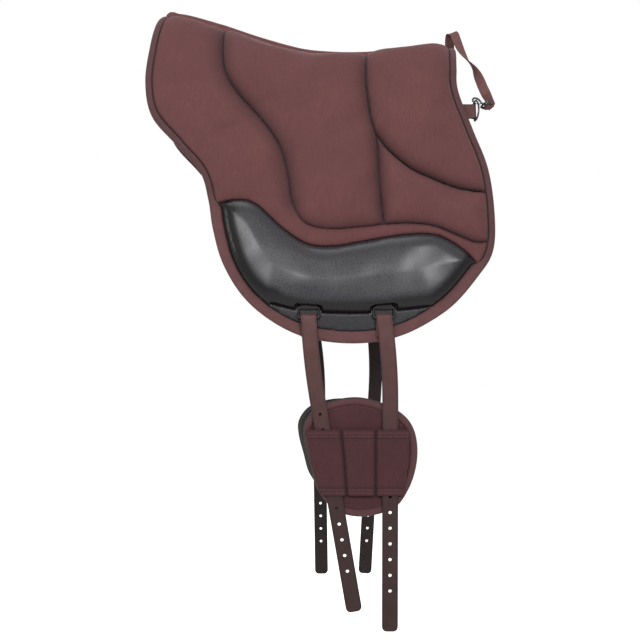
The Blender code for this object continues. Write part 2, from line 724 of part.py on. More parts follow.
def make_billet(label, along, side, length):
    """A leather billet folded over its bar, with a row of punched holes."""
    across, up = billet_axis()
    origin = Vector((along, -side * across, up))
    slopes = BILLET_SLOPE_SHARES[label]
    at = billet_path(along, side, *slopes)
    out = Vector((0, -side, 0))
    reach = LOOP_WIRE / 2 + BAR_CLEARANCE + BILLET_LEATHER / 2
    behind = reach - BILLET_LEATHER - GAP
    flat_x = Vector((1, 0, 0))
    sections = []
    for drop, stand in ((BILLET_FOLD, behind), (BILLET_FOLD / 2, behind), (0.0, -reach)):
        place = origin + out * stand - Vector((0, 0, drop))
        sections.append(section_of(place, flat_x, -out, BILLET_WIDTH, BILLET_LEATHER))
    for degrees in (135, 90, 45, 0):
        turn = math.radians(degrees)
        way = out * math.cos(turn) + Vector((0, 0, math.sin(turn)))
        sections.append(section_of(origin + way * reach, flat_x, way, BILLET_WIDTH, BILLET_LEATHER))
    fall = length / math.sqrt(1 + slopes[1] ** 2)
    stations = [BILLET_SETTLE * step / 4 for step in (1, 2, 3, 4)]
    stations += [fall - BILLET_TIP]
    for drop in stations:
        place, across_way = at(drop)
        sections.append(section_of(place, across_way, out, BILLET_WIDTH, BILLET_LEATHER))
    place, across_way = at(fall)
    sections.append(section_of(place, across_way, out, BILLET_WIDTH - BILLET_TIP, BILLET_LEATHER))
    item = strap(sections, f"billet_{label}", MATERIALS["billet"], origin=origin)
    holes = bmesh.new()
    for index in range(HOLE_COUNT):
        place, _ = at(fall - LAST_HOLE - index * HOLE_PITCH)
        made = bmesh.ops.create_cone(
            holes, cap_ends=True, segments=8, radius1=HOLE_DIAMETER / 2, radius2=HOLE_DIAMETER / 2,
            depth=BILLET_LEATHER + OVERRUN * 2,
        )["verts"]
        bmesh.ops.rotate(holes, verts=made, cent=(0, 0, 0), matrix=quarter_turn())
        bmesh.ops.translate(holes, verts=made, vec=place)
    cut(item, cutter(holes, f"holes_{label}"))


def quarter_turn():
    """The turn that lays an upright cylinder along Y."""
    return Vector((0, 0, 1)).rotation_difference(Vector((0, 1, 0))).to_matrix()


def guard_outline(distance):
    """The guard's closed outline drawn in by a distance, from its middle."""
    points = [(u * GUARD_WIDTH, w * GUARD_HEIGHT) for u, w in GUARD_SHARES]
    line = smooth([*points, points[0]], GUARD_WIDTH)[:-1]
    return seamed(line, distance)


def guard_bend(side, centre, up):
    """Take a guard place (along, up, outward from the billets' inner face) to the world."""
    across, _ = billet_axis()
    plane = across + LOOP_WIRE / 2 + BAR_CLEARANCE - GUARD_CLEARANCE

    def place(local):
        return Vector((centre + local.x, -side * (plane + local.z), up + local.y))

    return place


def make_guard(label, side, centre, up):
    """A padded guard: rim, cover, foam and mesh lining, and a pocket panel with three channels."""
    bend = guard_bend(side, centre, up)
    origin = bend(Vector((0, 0, 0)))
    rim = bmesh.new()
    deep = GUARD_RIM_DEPTH
    profile = [(0, -deep / 2 - RIM_STEP / 2), (0, -deep / 2 + RIM_STEP / 2), (RIM_STEP, 0)]
    profile += [(GUARD_RIM_WIDTH - RIM_STEP, 0), (GUARD_RIM_WIDTH, -RIM_STEP)]
    profile += [(GUARD_RIM_WIDTH, RIM_STEP - deep), (GUARD_RIM_WIDTH - RIM_STEP, -deep), (RIM_STEP, -deep)]
    rings = [[rim.verts.new((*point, depth)) for point in guard_outline(inset)] for inset, depth in profile]
    for inner, outer in zip(rings, [*rings[1:], rings[0]]):
        for index in range(len(inner)):
            rim.faces.new((inner[index - 1], inner[index], outer[index], outer[index - 1]))
    bmesh.ops.triangulate(rim, faces=rim.faces)
    finish(rim, f"guard_rim_{label}", MATERIALS["suede"], bend=bend, origin=origin)
    level = -RIM_STEP
    layers = (
        ("guard_cover", GUARD_COVER, "suede"),
        ("guard_foam", GUARD_FOAM, "foam"),
        ("guard_mesh", GUARD_MESH, "mesh"),
    )
    for name, thick, paint in layers:
        bm = bmesh.new()
        bm.faces.new([bm.verts.new((*point, level)) for point in guard_outline(GUARD_RIM_WIDTH + GAP)])
        bmesh.ops.triangulate(bm, faces=bm.faces)
        made = bmesh.ops.extrude_face_region(bm, geom=bm.faces[:])["geom"]
        for item in made:
            if isinstance(item, bmesh.types.BMVert):
                item.co.z -= thick
        finish(bm, f"{name}_{label}", MATERIALS[paint], bend=bend, origin=origin)
        level -= thick + GAP
    make_pocket(label, bend, origin)


def make_pocket(label, bend, origin):
    """The pocket panel: sewn down at its sides and at two seams, raised over its three channels."""
    over_rim = GAP
    over_cover = GAP - RIM_STEP
    high = GUARD_CLEARANCE * 2 + BILLET_LEATHER
    columns = (POCKET_LEFT_SHARES, POCKET_FIRST_SHARES, POCKET_SECOND_SHARES, POCKET_RIGHT_SHARES)
    rows = zip(POCKET_ROW_SHARES, *columns)
    bm = bmesh.new()
    grids = []
    for row, left, first, second, right in rows:
        left, first, second, right = (share * GUARD_WIDTH for share in (left, first, second, right))
        half_seam = POCKET_SEAM / 2
        columns = [(left, over_rim), (left + POCKET_RISE, high)]
        for seam in (first, second):
            columns += [(seam - half_seam - POCKET_RISE, high), (seam - half_seam, over_cover)]
            columns += [(seam + half_seam, over_cover), (seam + half_seam + POCKET_RISE, high)]
        columns += [(right - POCKET_RISE, high), (right, over_rim)]
        grids.append([(along, row * GUARD_HEIGHT, lift) for along, lift in columns])
    layers = []
    for thick in (0.0, POCKET_PANEL):
        layers.append([[bm.verts.new((x, y, z + thick)) for x, y, z in row] for row in grids])
    for layer in layers:
        for before, after in zip(layer, layer[1:]):
            for index in range(1, len(before)):
                bm.faces.new((before[index - 1], before[index], after[index], after[index - 1]))
    low, top = layers
    rim = low[0] + [row[-1] for row in low[1:-1]] + low[-1][::-1] + [row[0] for row in low[-2:0:-1]]
    rim_top = top[0] + [row[-1] for row in top[1:-1]] + top[-1][::-1] + [row[0] for row in top[-2:0:-1]]
    for index in range(len(rim)):
        bm.faces.new((rim[index - 1], rim[index], rim_top[index], rim_top[index - 1]))
    bmesh.ops.triangulate(bm, faces=bm.faces)
    finish(bm, f"guard_pocket_{label}", MATERIALS["suede"], bend=bend, origin=origin)


def rear_frame(edge, side):
    """The ring tab's place on the edge, the directions back, down the flap and out, and the edge's lean."""
    back = crossing(edge, D_TAB_DROP, PAD_LENGTH).x
    high, low = (crossing(edge, D_TAB_DROP + end * D_TAB_HEIGHT / 2, PAD_LENGTH).x for end in (-1, 1))
    middle = STACK / 2
    down = (drape((back, D_TAB_DROP + OVERRUN, middle)) - drape((back, D_TAB_DROP, middle))).normalized()
    out = (drape((back, D_TAB_DROP, STACK)) - drape((back, D_TAB_DROP, 0))).normalized()
    start = drape((back, D_TAB_DROP, middle))
    flip = Vector((1, side, 1))
    return start * flip, Vector((1, 0, 0)), down * flip, out * flip, low - high


def make_rear_ring(label, edge, side, turn_degrees):
    """The webbing tab sewn into the rear edge, and the D-ring that it holds."""
    start, back, down, out, lean = rear_frame(edge, side)
    bar = start + back * TAB_REACH
    reach = D_WIRE / 2 + BAR_CLEARANCE + D_TAB_WEBBING / 2
    layer = D_TAB_WEBBING / 2 + GAP / 2
    path = [(GAP * 2, layer, lean), (TAB_REACH - reach * 2, layer, 0.0), (TAB_REACH - reach / 2, reach, 0.0)]
    sections = []
    for x, y, slant in path:
        across = down * D_TAB_HEIGHT + back * slant
        sections.append(section_of(start + back * x + out * y, across, out, across.length, D_TAB_WEBBING))
    for degrees in (60, 0, -60):
        turn = math.radians(degrees)
        way = back * math.cos(turn) + out * math.sin(turn)
        sections.append(section_of(bar + way * reach, down, way, D_TAB_HEIGHT, D_TAB_WEBBING))
    for x, y, slant in path[::-1]:
        across = down * D_TAB_HEIGHT + back * slant
        sections.append(section_of(start + back * x - out * y, across, -out, across.length, D_TAB_WEBBING))
    strap(sections, f"ring_tab_{label}", MATERIALS["webbing"])
    turn = math.radians(turn_degrees)
    reach_way = back * math.cos(turn) + out * math.sin(turn)
    tall = D_HEIGHT / 2 - D_WIRE / 2
    deep = D_DEPTH - D_WIRE
    corner = D_WIRE
    points = [bar - down * (tall - corner), bar + down * (tall - corner)]
    cut_in = corner * D_CORNER_share
    points.append(bar + down * (tall - cut_in) + reach_way * cut_in)
    for step in range(9):
        angle = math.radians(90 - step * 22.5)
        place = bar + down * tall * math.sin(angle) + reach_way * (corner + (deep - corner) * math.cos(angle))
        points.append(place)
    points.append(bar - down * (tall - cut_in) + reach_way * cut_in)
    wire(f"d_ring_{label}", points, D_WIRE, MATERIALS["metal"], bar, sides=1)
    return bar - down * tall + reach_way * (corner + OVERRUN), reach_way


def snap_frame(top, leg):
    """The snap's directions: from its eye to its hook, across the hook, and along the ring's leg."""
    aim = Vector(SNAP_AIM)
    long = (aim - leg * aim.dot(leg)).normalized()
    return top, long, leg.cross(long).normalized(), leg.normalized()


def make_snap(top, leg):
    """A small swivel snap: hook with its stem, sprung gate, and the eye that the strap is sewn through."""
    start, long, rise, leg = snap_frame(top, leg)
    hook_path = [(a * SNAP_SHANK, b * SNAP_BIGHT) for a, b in HOOK_SHARES]
    for degrees in (-60, -30, 0, 30, 60, 90):
        turn = math.radians(degrees)
        hook_path.append((SNAP_BIGHT * math.cos(turn), SNAP_BIGHT * math.sin(turn)))
    nose = -SNAP_BIGHT * NOSE_share
    hook_path.append((nose, SNAP_BIGHT))
    eye_start = SNAP_SHANK + EYE_BASE
    neck = eye_start + EYE_BAR + GAP * 2
    stem = SNAP_STEM / SNAP_WIRE
    head = SNAP_HEAD / SNAP_WIRE
    lead = [(-neck - SNAP_HEAD_LENGTH, 0.0, head), (-neck - GAP, 0.0, head), (-neck, 0.0, stem)]
    lead += [(-eye_start + GAP * 2, 0.0, stem), (-eye_start + GAP * 4, 0.0, 1.0)]
    path = [(a, b) for a, b, _ in lead] + hook_path
    swell = [r for _, _, r in lead] + [1.0] * len(hook_path)
    points = [start + long * a + rise * b for a, b in path]
    body_origin = start - long * eye_start
    wire("snap_hook", points, SNAP_WIRE, MATERIALS["metal"], body_origin, closed=False, swell=swell)
    pivot = (SNAP_SHANK * GATE_PIVOT_SHARES[0], SNAP_BIGHT * GATE_PIVOT_SHARES[1])
    tip = (nose - SNAP_WIRE * GATE_TIP_share, SNAP_BIGHT)
    gate_points = [start + long * a + rise * b for a, b in (pivot, tip)]
    gate_origin = gate_points[0]
    wire("snap_gate", gate_points, GATE_WIRE, MATERIALS["metal"], gate_origin, closed=False, sides=1)
    frame = (start - long * eye_start, -long, rise, leg)
    eye = bmesh.new()
    length = EYE_BAR * 2 + EYE_WINDOW
    box(eye, frame, (GAP, -EYE_DEPTH / 2, -EYE_WIDTH / 2), (length, EYE_DEPTH / 2, EYE_WIDTH / 2))
    item = finish(eye, "snap_eye", MATERIALS["metal"])
    window = bmesh.new()
    wide = EYE_WIDTH / 2 - EYE_BAR
    box(window, frame, (EYE_BAR + GAP, -EYE_DEPTH, -wide), (EYE_BAR + EYE_WINDOW, EYE_DEPTH, wide))
    cut(item, cutter(window, "eye_window"))
    bore = bmesh.new()
    round_bore = SNAP_STEM / 2 + BAR_CLEARANCE
    made = bmesh.ops.create_cone(
        bore, cap_ends=True, segments=12, radius1=round_bore, radius2=round_bore, depth=EYE_BAR + OVERRUN * 2
    )["verts"]
    turn = Vector((0, 0, 1)).rotation_difference(long).to_matrix()
    bmesh.ops.rotate(bore, verts=made, cent=(0, 0, 0), matrix=turn)
    bmesh.ops.translate(bore, verts=made, vec=frame[0] - long * EYE_BAR / 2)
    cut(item, cutter(bore, "eye_bore"))
    bar = frame[0] - long * (length - EYE_BAR / 2)
    return bar, long, rise, leg


def make_tail_strap(edge, bar, long, rise, leg):
    """Webbing sewn across the spine's rear end, arched over, half twisted and folded through the eye."""
    across_eye = -leg
    reach = BAR_CLEARANCE + STRAP_WEBBING / 2
    beside = EYE_DEPTH / 2 + reach
    pinch = STRAP_WEBBING / 2 + GAP
    lift = STACK + GAP * 2 + BINDING_TAPE + STRAP_WEBBING / 2
    along = edge[-1].x + STRAP_OVERHANG - STRAP_WIDTH / 2
    path = []
    for drop in (STRAP_SEWN + STRAP_STITCHED, KNOTS[1][0], STRAP_SEWN):
        place = drape((along, -drop, lift))
        path.append((place, Vector((1, 0, 0))))
    sewn_end = path[-1][0]
    eye_end = bar - long * (STRAP_RETURN + STRAP_TURN) - rise * (pinch + STRAP_TURN)
    for step, (stand, way) in enumerate(zip(STRAP_SHARES, STRAP_WAYS)):
        straight = sewn_end.lerp(eye_end, step / (len(STRAP_SHARES) - 1))
        path.append((straight + Vector(stand) * PAD_LENGTH, Vector(way)))
    open_out = beside * OPEN_share
    for degrees in (0, 30, 60, 90):
        turn = math.radians(degrees)
        behind = STRAP_RETURN + STRAP_TURN * math.cos(turn)
        above = pinch + STRAP_TURN * (1 - math.sin(turn))
        path.append((bar - long * behind - rise * above, across_eye))
    for behind, above in ((open_out, pinch + GAP), (EYE_BAR / 2, beside)):
        path.append((bar - long * behind - rise * above, across_eye))
    for corner, angles in ((1, (90, 45, 0)), (-1, (0, -45, -90))):
        for degrees in angles:
            turn = math.radians(degrees)
            ahead = EYE_BAR / 2 + reach * math.cos(turn)
            above = corner * EYE_DEPTH / 2 + reach * math.sin(turn)
            path.append((bar + long * ahead - rise * above, across_eye))
    path.append((bar - long * EYE_BAR / 2 + rise * beside, across_eye))
    for behind in (open_out, STRAP_RETURN + STRAP_END):
        path.append((bar - long * behind + rise * pinch, across_eye))
    sections = []
    for index, (place, way) in enumerate(path):
        before = path[max(index - 1, 0)][0]
        after = path[min(index + 1, len(path) - 1)][0]
        run = (after - before).normalized()
        across = way - run * way.dot(run)
        sections.append(section_of(place, across, run.cross(across), STRAP_WIDTH, STRAP_WEBBING))
    strap(sections, "tail_strap", MATERIALS["webbing"])


def clear_scene():
    for item in list(bpy.data.objects):
        bpy.data.objects.remove(item)


def main():
    clear_scene()
    for name, values in MATERIALS.items():
        MATERIALS[name] = material(name, *values)
    edge, patch_top, panels = outlines()
    make_layers(edge)
    make_binding(edge)
    make_spine_strip(edge)
    make_cushions(panels)
    make_patch(edge, patch_top)
    billets = (
        ("near_front", FRONT_LOOP_X, NEAR, NEAR_FRONT_BILLET),
        ("near_rear", REAR_LOOP_X, NEAR, NEAR_REAR_BILLET),
        ("far_front", FRONT_LOOP_X, FAR, FAR_BILLET),
        ("far_rear", REAR_LOOP_X, FAR, FAR_BILLET),
    )
    for label, along, side, length in billets:
        make_loop(label, along, side)
        make_billet(label, along, side, length)
    up = billet_axis()[1]
    make_guard("near", NEAR, NEAR_GUARD_X, up - GUARD_DROP)
    make_guard("far", FAR, FAR_GUARD_X, up - GUARD_DROP - FAR_GUARD_SLIP)
    top, leg = make_rear_ring("near", edge, NEAR, NEAR_RING_TURN)
    make_rear_ring("far", edge, FAR, FAR_RING_TURN)
    make_tail_strap(edge, *make_snap(top, leg))


main()
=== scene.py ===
import math

import bmesh
import bpy
import numpy as np
from mathutils import Matrix, Vector, noise


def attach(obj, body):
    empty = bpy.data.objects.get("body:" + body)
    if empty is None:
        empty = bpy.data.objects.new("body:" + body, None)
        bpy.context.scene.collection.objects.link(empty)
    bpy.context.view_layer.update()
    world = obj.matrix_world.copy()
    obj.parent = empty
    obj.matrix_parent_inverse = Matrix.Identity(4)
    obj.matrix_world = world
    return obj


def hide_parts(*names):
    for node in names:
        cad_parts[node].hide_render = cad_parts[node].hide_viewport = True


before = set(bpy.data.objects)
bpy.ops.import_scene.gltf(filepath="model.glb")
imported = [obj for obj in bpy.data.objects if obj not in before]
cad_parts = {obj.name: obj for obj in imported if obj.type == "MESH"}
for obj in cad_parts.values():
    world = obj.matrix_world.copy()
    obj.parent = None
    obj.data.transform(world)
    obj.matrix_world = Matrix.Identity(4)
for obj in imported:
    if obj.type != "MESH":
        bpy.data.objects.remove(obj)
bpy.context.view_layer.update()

# The pad is drawn flat, as its maker cuts it, and then draped. Flat places are (along, drop,
# height): along the horse's back, down the flap from the spine, and out from the horse's side.
# Near is the side at -Y. The front, at the withers, is at -X. All lengths are in metres.

PAD_LENGTH = 0.566
FLAP_DROP = 0.536
WITHERS_RISE = 0.070
GAP = 0.0003
LINING = 0.0025
STACK = 0.0106
ON_COVER = STACK + GAP
BINDING_TAPE = 0.0010
BINDING_WIDTH = 0.0110
BINDING_FREE = 0.0075
BINDING_PUCKER = 0.0006
# How much painted shade darkens the binding above the patch
TOP_BINDING_SHADE = 0.50
CUSHION_MARGIN = 0.0125
BORDER_WIDTH = 0.0183
PATCH_MARGIN = 0.0190
SPINE_STRIP_WIDTH = 0.028
SPINE_STRIP = 0.0020
CUSHION_COVER = 0.0020
COVER = 0.0015
SEAM_WIDTH = 0.0012

# How high each cushion stands and how wide its rolled edge is, and how far its middle rises more
CROWNS = {
    "front": (0.0050, 0.040),
    "seat": (0.0150, 0.048),
    "cantle": (0.0190, 0.045),
    "rear": (0.0150, 0.040),
}
PILLOWS = {
    "front": (0.0, 0.05),
    "seat": (0.0030, 0.090),
    "cantle": (0.0020, 0.080),
    "rear": (0.0010, 0.060),
}
FILLS = {"front": 0.4, "seat": 0.7, "cantle": 0.85, "rear": 0.7}
PATCH_CROWN, PATCH_PILLOW = (0.0100, 0.024), (0.0065, 0.080)
# How far in the painted shade reaches on the patch's rolled foot and sides, and on its front
PATCH_ROLL_SHADE_REACH, PATCH_FRONT_ROLL_SHADE_REACH = 0.030, 0.044

# The cloth that fills the cushions, its frames, how far it may go, and how often it is evened out
CLOTH = {
    "quality": 6,
    "mass": 0.25,
    "tension_stiffness": 18,
    "compression_stiffness": 18,
    "shear_stiffness": 8,
    "bending_stiffness": 0.25,
    "use_pressure": True,
    "uniform_pressure_force": 3.0,
    "shrink_min": -0.022,
    "vertex_group_mass": "seams",
}
SWELL_FRAMES = 20
SWELL_CAP = 0.0045
PATCH_ROUNDS, CUSHION_ROUNDS = 60, 4

# Painted shade beside seams: beside which seams each cushion is painted dark, how dark, and how far
# in from the seam
SEAM_SHADES = {
    "front": [
        ("sweep", 0.80, 0.005),
        ("sweep", 0.74, 0.034),
        ("sweep_top", 0.92, 0.026),
        ("low", 0.5, 0.004),
    ],
    "seat": [
        ("sweep", 0.80, 0.005),
        ("sweep", 0.66, 0.026),
        ("middle", 0.8, 0.004),
        ("middle", 0.55, 0.024),
        ("gusset", 0.6, 0.004),
        ("gusset", 0.74, 0.026),
        ("seat_foot", 0.22, 0.018),
    ],
    "cantle": [
        ("middle", 0.8, 0.004),
        ("middle", 0.3, 0.008),
        ("cantle", 0.8, 0.004),
        ("cantle", 0.4, 0.020),
    ],
    "rear": [
        ("gusset", 0.6, 0.004),
        ("gusset", 0.62, 0.022),
        ("cantle", 0.7, 0.004),
        ("low", 0.6, 0.004),
        ("low", 0.3, 0.014),
    ],
}

# How far the spine strip is raised, at shares of the pad's length
STRIP_CROWNS = [(-0.49, 0.0095), (-0.40, 0.0108), (-0.32, 0.0134), (-0.24, 0.0126), (-0.12, 0.0122)]
STRIP_CROWNS += [(0.0, 0.0102), (0.12, 0.0094), (0.26, 0.0100), (0.40, 0.0100)]
STRIP_ROLL = 0.012
SPINE_REACH = 0.055

BILLET_WIDTH = 0.025
BILLET_LEATHER = 0.0030
BILLET_FOLD = 0.030
BILLET_TIP = 0.008
BILLET_SETTLE = 0.136
BILLET_CORNER = 50
BILLET_STEP = 0.010
HOLE_PITCH = 0.0245
HOLE_DIAMETER = 0.0052
LAST_HOLE = 0.063
HOLE_COUNT = 11
FRONT_LOOP_X = -0.0337
REAR_LOOP_X = 0.0842
LOOP_WIRE = 0.0040
LOOP_LENGTH = 0.0190
BAR_CLEARANCE = 0.0004
LOOP_SIDE_CLEARANCE = 0.0015
LOOP_CORNER = 0.0030
TAB_WEBBING = 0.0012
TAB_LENGTH = 0.0160
MOUTH_DEPTH = 0.0080
MOUTH_CLEARANCE = 0.0035
HALF_MOUTH = BILLET_WIDTH / 2 + LOOP_SIDE_CLEARANCE + LOOP_WIRE + MOUTH_CLEARANCE / 2
BAR_ACROSS, BAR_UP = 0.169826, -0.441983

# Each billet's place along the back, its side, its length, and its lean at the loop and lower down
BILLETS = {
    "near_front": (-0.0337, 1, 0.466, 0.050, 0.174),
    "near_rear": (0.0842, 1, 0.490, 0.143, -0.002),
    "far_front": (-0.0337, -1, 0.496, 0.210, 0.015),
    "far_rear": (0.0842, -1, 0.496, 0.152, -0.055),
}

GUARD_WIDTH = 0.180
GUARD_HEIGHT = 0.187
GUARD_DROP = 0.2190
NEAR_GUARD_X = 0.0474
FAR_GUARD_X = 0.0310
FAR_GUARD_SLIP = 0.030
GUARD_RIM_WIDTH = 0.012
GUARD_RIM_DEPTH = 0.014
GUARD_CLEARANCE = 0.0006
RIM_STEP = 0.0030
GUARD_STEP = 0.004
GUARD_CELL, POCKET_CELL = 0.005, 0.0025
POCKET_PANEL = 0.0018
POCKET_RISE = 0.0020
TOP_HEM, FOOT_HEM, HEM_RISE = 0.0125, 0.0115, 0.0007
GUARD_ROLL_IN = 0.016

TAB_REACH = 0.0150
D_TAB_HEIGHT = 0.0250
D_TAB_DROP = 0.1660
D_TAB_WEBBING = 0.0013
D_WIRE = 0.0030
D_HEIGHT = 0.0370
D_DEPTH = 0.0180
NEAR_RING_TURN = 70
FAR_RING_TURN = 25
STRAP_WIDTH = 0.0160
STRAP_WEBBING = 0.0015
SNAP_WIRE = 0.0032
SNAP_BIGHT = 0.0046
SNAP_SHANK = 0.0125
SNAP_STEM = 0.0028
SNAP_HEAD = 0.0052
SNAP_HEAD_LENGTH = 0.0016
GATE_WIRE = 0.0018
EYE_BAR = 0.0022
EYE_WINDOW = 0.0058
EYE_DEPTH = 0.0046
EYE_WIDTH = 0.0230
EYE_BASE = 0.0020
STRAP_SEWN = 0.0100
STRAP_OVERHANG = 0.0052
STRAP_RETURN = 0.0060
STRAP_TURN = 0.0025
STRAP_END = 0.0020
STRAP_STEP = 0.0035
STRAP_CORNER, WEBBING_CORNER, BILLET_ROUNDING = 0.0005, 0.0004, 0.0009

# The tail strap's free run in shares of the pad's length, and which way its width lies there
STRAP_SHARES = [(0.374, 0.011, 0.078), (0.376, 0.0, 0.096), (0.384, -0.016, 0.092)]
STRAP_SHARES += [(0.391, -0.032, 0.064), (0.401, -0.051, 0.029), (0.412, -0.071, 0.0)]
STRAP_SHARES += [(0.428, -0.095, -0.032), (0.442, -0.120, -0.071), (0.451, -0.141, -0.106)]
STRAP_SHARES += [(0.459, -0.155, -0.131)]
STRAP_WAYS = [(1, -0.1, 0.2), (1, -0.2, 0.4), (0.9, 0.2, 0.4), (0.9, 0.3, 0.4), (0.75, 0.6, 0.3)]
STRAP_WAYS += [(0.5, 0.85, 0.1), (0.0, 1.0, 0.0), (-0.7, 0.6, -0.3), (-0.94, 0.1, -0.34)]
STRAP_WAYS += [(-0.8, 0.5, -0.3)]

# The half section's slope in degrees at shares of the flap's drop, and the spine line in shares
SLOPE_SHARES = [(0.0, 0), (0.036, 14), (0.072, 28), (0.108, 42), (0.144, 56), (0.18, 69)]
SLOPE_SHARES += [(0.28, 76.5), (0.48, 78.5), (0.74, 81.5), (1.0, 84), (1.05, 84)]
SPINE_SHARES = [(-0.530, 1.0), (-0.433, 0.90), (-0.318, 0.60), (-0.194, 0.28), (-0.088, 0.06)]
SPINE_SHARES += [(0.0, 0.0), (0.106, 0.0), (0.212, 0.08), (0.318, 0.17), (0.480, 0.22)]

# The near side's edge, seams and patch, in shares of the pad's length and the flap's drop
EDGE_SHARES = [(-0.502, 0.0), (-0.509, 0.075), (-0.526, 0.21), (-0.534, 0.33), (-0.511, 0.438)]
EDGE_SHARES += [(-0.435, 0.522), (-0.369, 0.582), (-0.344, 0.66), (-0.330, 0.743), (-0.300, 0.838)]
EDGE_SHARES += [(-0.240, 0.918), (-0.148, 0.968), (-0.018, 0.995), (0.117, 0.998), (0.226, 0.978)]
EDGE_SHARES += [(0.334, 0.920), (0.417, 0.826), (0.459, 0.752), (0.466, 0.640), (0.452, 0.500)]
EDGE_SHARES += [(0.412, 0.371), (0.375, 0.245), (0.374, 0.165), (0.381, 0.070), (0.381, 0.0)]
SWEEP_SHARES = [(-0.322, 0.0), (-0.314, 0.110), (-0.305, 0.228), (-0.263, 0.294), (-0.193, 0.358)]
SWEEP_SHARES += [(-0.141, 0.430), (-0.117, 0.520), (-0.106, 0.590), (-0.072, 0.645)]
SWEEP_SHARES += [(-0.005, 0.660), (0.080, 0.654), (0.152, 0.650)]
MIDDLE_SHARES = [(0.114, 0.0), (0.106, 0.182), (0.117, 0.305), (0.134, 0.386), (0.140, 0.510)]
MIDDLE_SHARES += [(0.148, 0.620), (0.152, 0.650)]
CANTLE_SHARES = [(0.132, 0.366), (0.170, 0.424), (0.233, 0.489), (0.320, 0.543), (0.383, 0.567)]
CANTLE_SHARES += [(0.440, 0.577)]
LOW_SHARES = [(0.152, 0.650), (0.216, 0.654), (0.288, 0.670), (0.359, 0.705), (0.408, 0.727)]
LOW_SHARES += [(0.444, 0.727)]
PATCH_SHARES = [(-0.318, 0.662), (-0.262, 0.631), (-0.208, 0.627), (-0.136, 0.675), (-0.064, 0.709)]
PATCH_SHARES += [(0.009, 0.712), (0.108, 0.695), (0.216, 0.688), (0.304, 0.702), (0.375, 0.750)]
PATCH_SHARES += [(0.412, 0.793)]
PATCH_FOOT = 0.912 * FLAP_DROP
FOOT_WIDTH_SHARES = (-0.160, 0.275)

# A guard's outline and its pocket's seams, in shares of the guard's width and height
GUARD_SHARES = [(0.0, 0.5), (0.26, 0.425), (0.42, 0.31), (0.49, 0.15), (0.49, -0.06), (0.42, -0.27)]
GUARD_SHARES += [(0.29, -0.43), (0.02, -0.5), (-0.21, -0.45), (-0.37, -0.28), (-0.44, -0.06)]
GUARD_SHARES += [(-0.49, 0.13), (-0.49, 0.27), (-0.40, 0.40), (-0.24, 0.475)]
POCKET_ROWS = (0.235, -0.04, -0.22, -0.275, -0.300, -0.315)
POCKET_LEFT = (-0.485, -0.435, -0.385, -0.367, -0.357, -0.336)
POCKET_FIRST = (-0.170, -0.140, -0.127, -0.123, -0.121, -0.120)
POCKET_SECOND = (0.130, 0.130, 0.130, 0.130, 0.130, 0.130)
POCKET_RIGHT = (0.430, 0.415, 0.395, 0.388, 0.383, 0.374)

SIDES = {"near": 1, "far": -1}
ALONG = Vector((1, 0, 0))
TUBE_SIDES = 14
CORNER_STEPS = 6
STITCHES_AT_ONCE = 30

# Rows of stitches: how far apart, how long and how thick
EDGE_ROW = {"pitch": 0.0045, "length": 0.0032, "thick": 0.0006}
FOOT_ROW = {"pitch": 0.0040, "length": 0.0024, "thick": 0.0008}
HEM_ROW = {"pitch": 0.0036, "length": 0.0026, "thick": 0.0009}
CHANNEL_ROW = {"pitch": 0.0036, "length": 0.0026, "thick": 0.0006}
RIM_ROW = {"pitch": 0.0038, "length": 0.0027, "thick": 0.0006}
TAB_ROW = {"pitch": 0.0032, "length": 0.0023, "thick": 0.0006}
STRAP_ROW = {"pitch": 0.0034, "length": 0.0025, "thick": 0.0007}
EDGE_ROW_INSET, STRIP_ROW_INSET, FOOT_ROW_INSET, RIM_ROW_INSET = 0.0022, 0.0030, 0.0032, 0.0022
THREAD_LIFT, RIM_ROW_SINK = 0.0002, 0.0002

# Lamps, each with its place, size and power, and what they are aimed at
LAMPS = {
    "left": ((-0.44, -2.15, 0.42), 0.45, 25),
    "right": ((0.70, -2.13, 0.40), 0.45, 27),
    "above": ((-0.2, -0.5, 1.5), 1.0, 10),
    "back": ((0.4, 2.1, 0.7), 1.0, 34),
    "edge": ((-2.1, -1.1, 0.0), 0.4, 7),
}
LAMP_AIM = (0, 0, -0.3)
WORLD_LIGHT = 0.30
FLOOR_LEVEL, FLOOR_SIZE, FLOOR_TONE, FLOOR_LIFT = -1.22, 9.0, 0.86, 0.70
CAMERA_PLACE = (-0.016, -1.602, -0.446)
CAMERA_LENS, CAMERA_SENSOR = 51.47, 36


# Draping: from the flat pattern to the horse's back


def section_table():
    drops = np.linspace(0, SLOPE_SHARES[-1][0], 800) * FLAP_DROP
    shares, degrees = zip(*SLOPE_SHARES)
    slopes = np.radians(np.interp(drops / FLAP_DROP, shares, degrees))
    middles = (slopes[1:] + slopes[:-1]) / 2
    steps = np.diff(drops)
    across = np.concatenate([[0], np.cumsum(np.cos(middles) * steps)])
    ups = -np.concatenate([[0], np.cumsum(np.sin(middles) * steps)])
    return drops, across, ups, slopes


def smooth(points, step, closed=False):
    """A smooth curve through the points, as a polyline with about this step."""
    points = [Vector(p) for p in points]
    ends = [points[0] * 2 - points[1], *points, points[-1] * 2 - points[-2]]
    if closed:
        ends = [points[-1], *points, points[0], points[1]]
    line = []
    for a, b, c, d in zip(ends, ends[1:], ends[2:], ends[3:]):
        count = max(1, round((c - b).length / step))
        for index in range(count):
            t = index / count
            square, cube = 2 * a - 5 * b + 4 * c - d, 3 * b - a - 3 * c + d
            line.append(0.5 * (2 * b + (c - a) * t + square * t**2 + cube * t**3))
    return line if closed else [*line, points[-1]]


DROPS, ACROSS, UPS, SLOPES = section_table()
SPINE_LINE = [(along * PAD_LENGTH, rise * WITHERS_RISE) for along, rise in SPINE_SHARES]
SPINE = np.array([tuple(place) for place in smooth(SPINE_LINE, 0.004)])


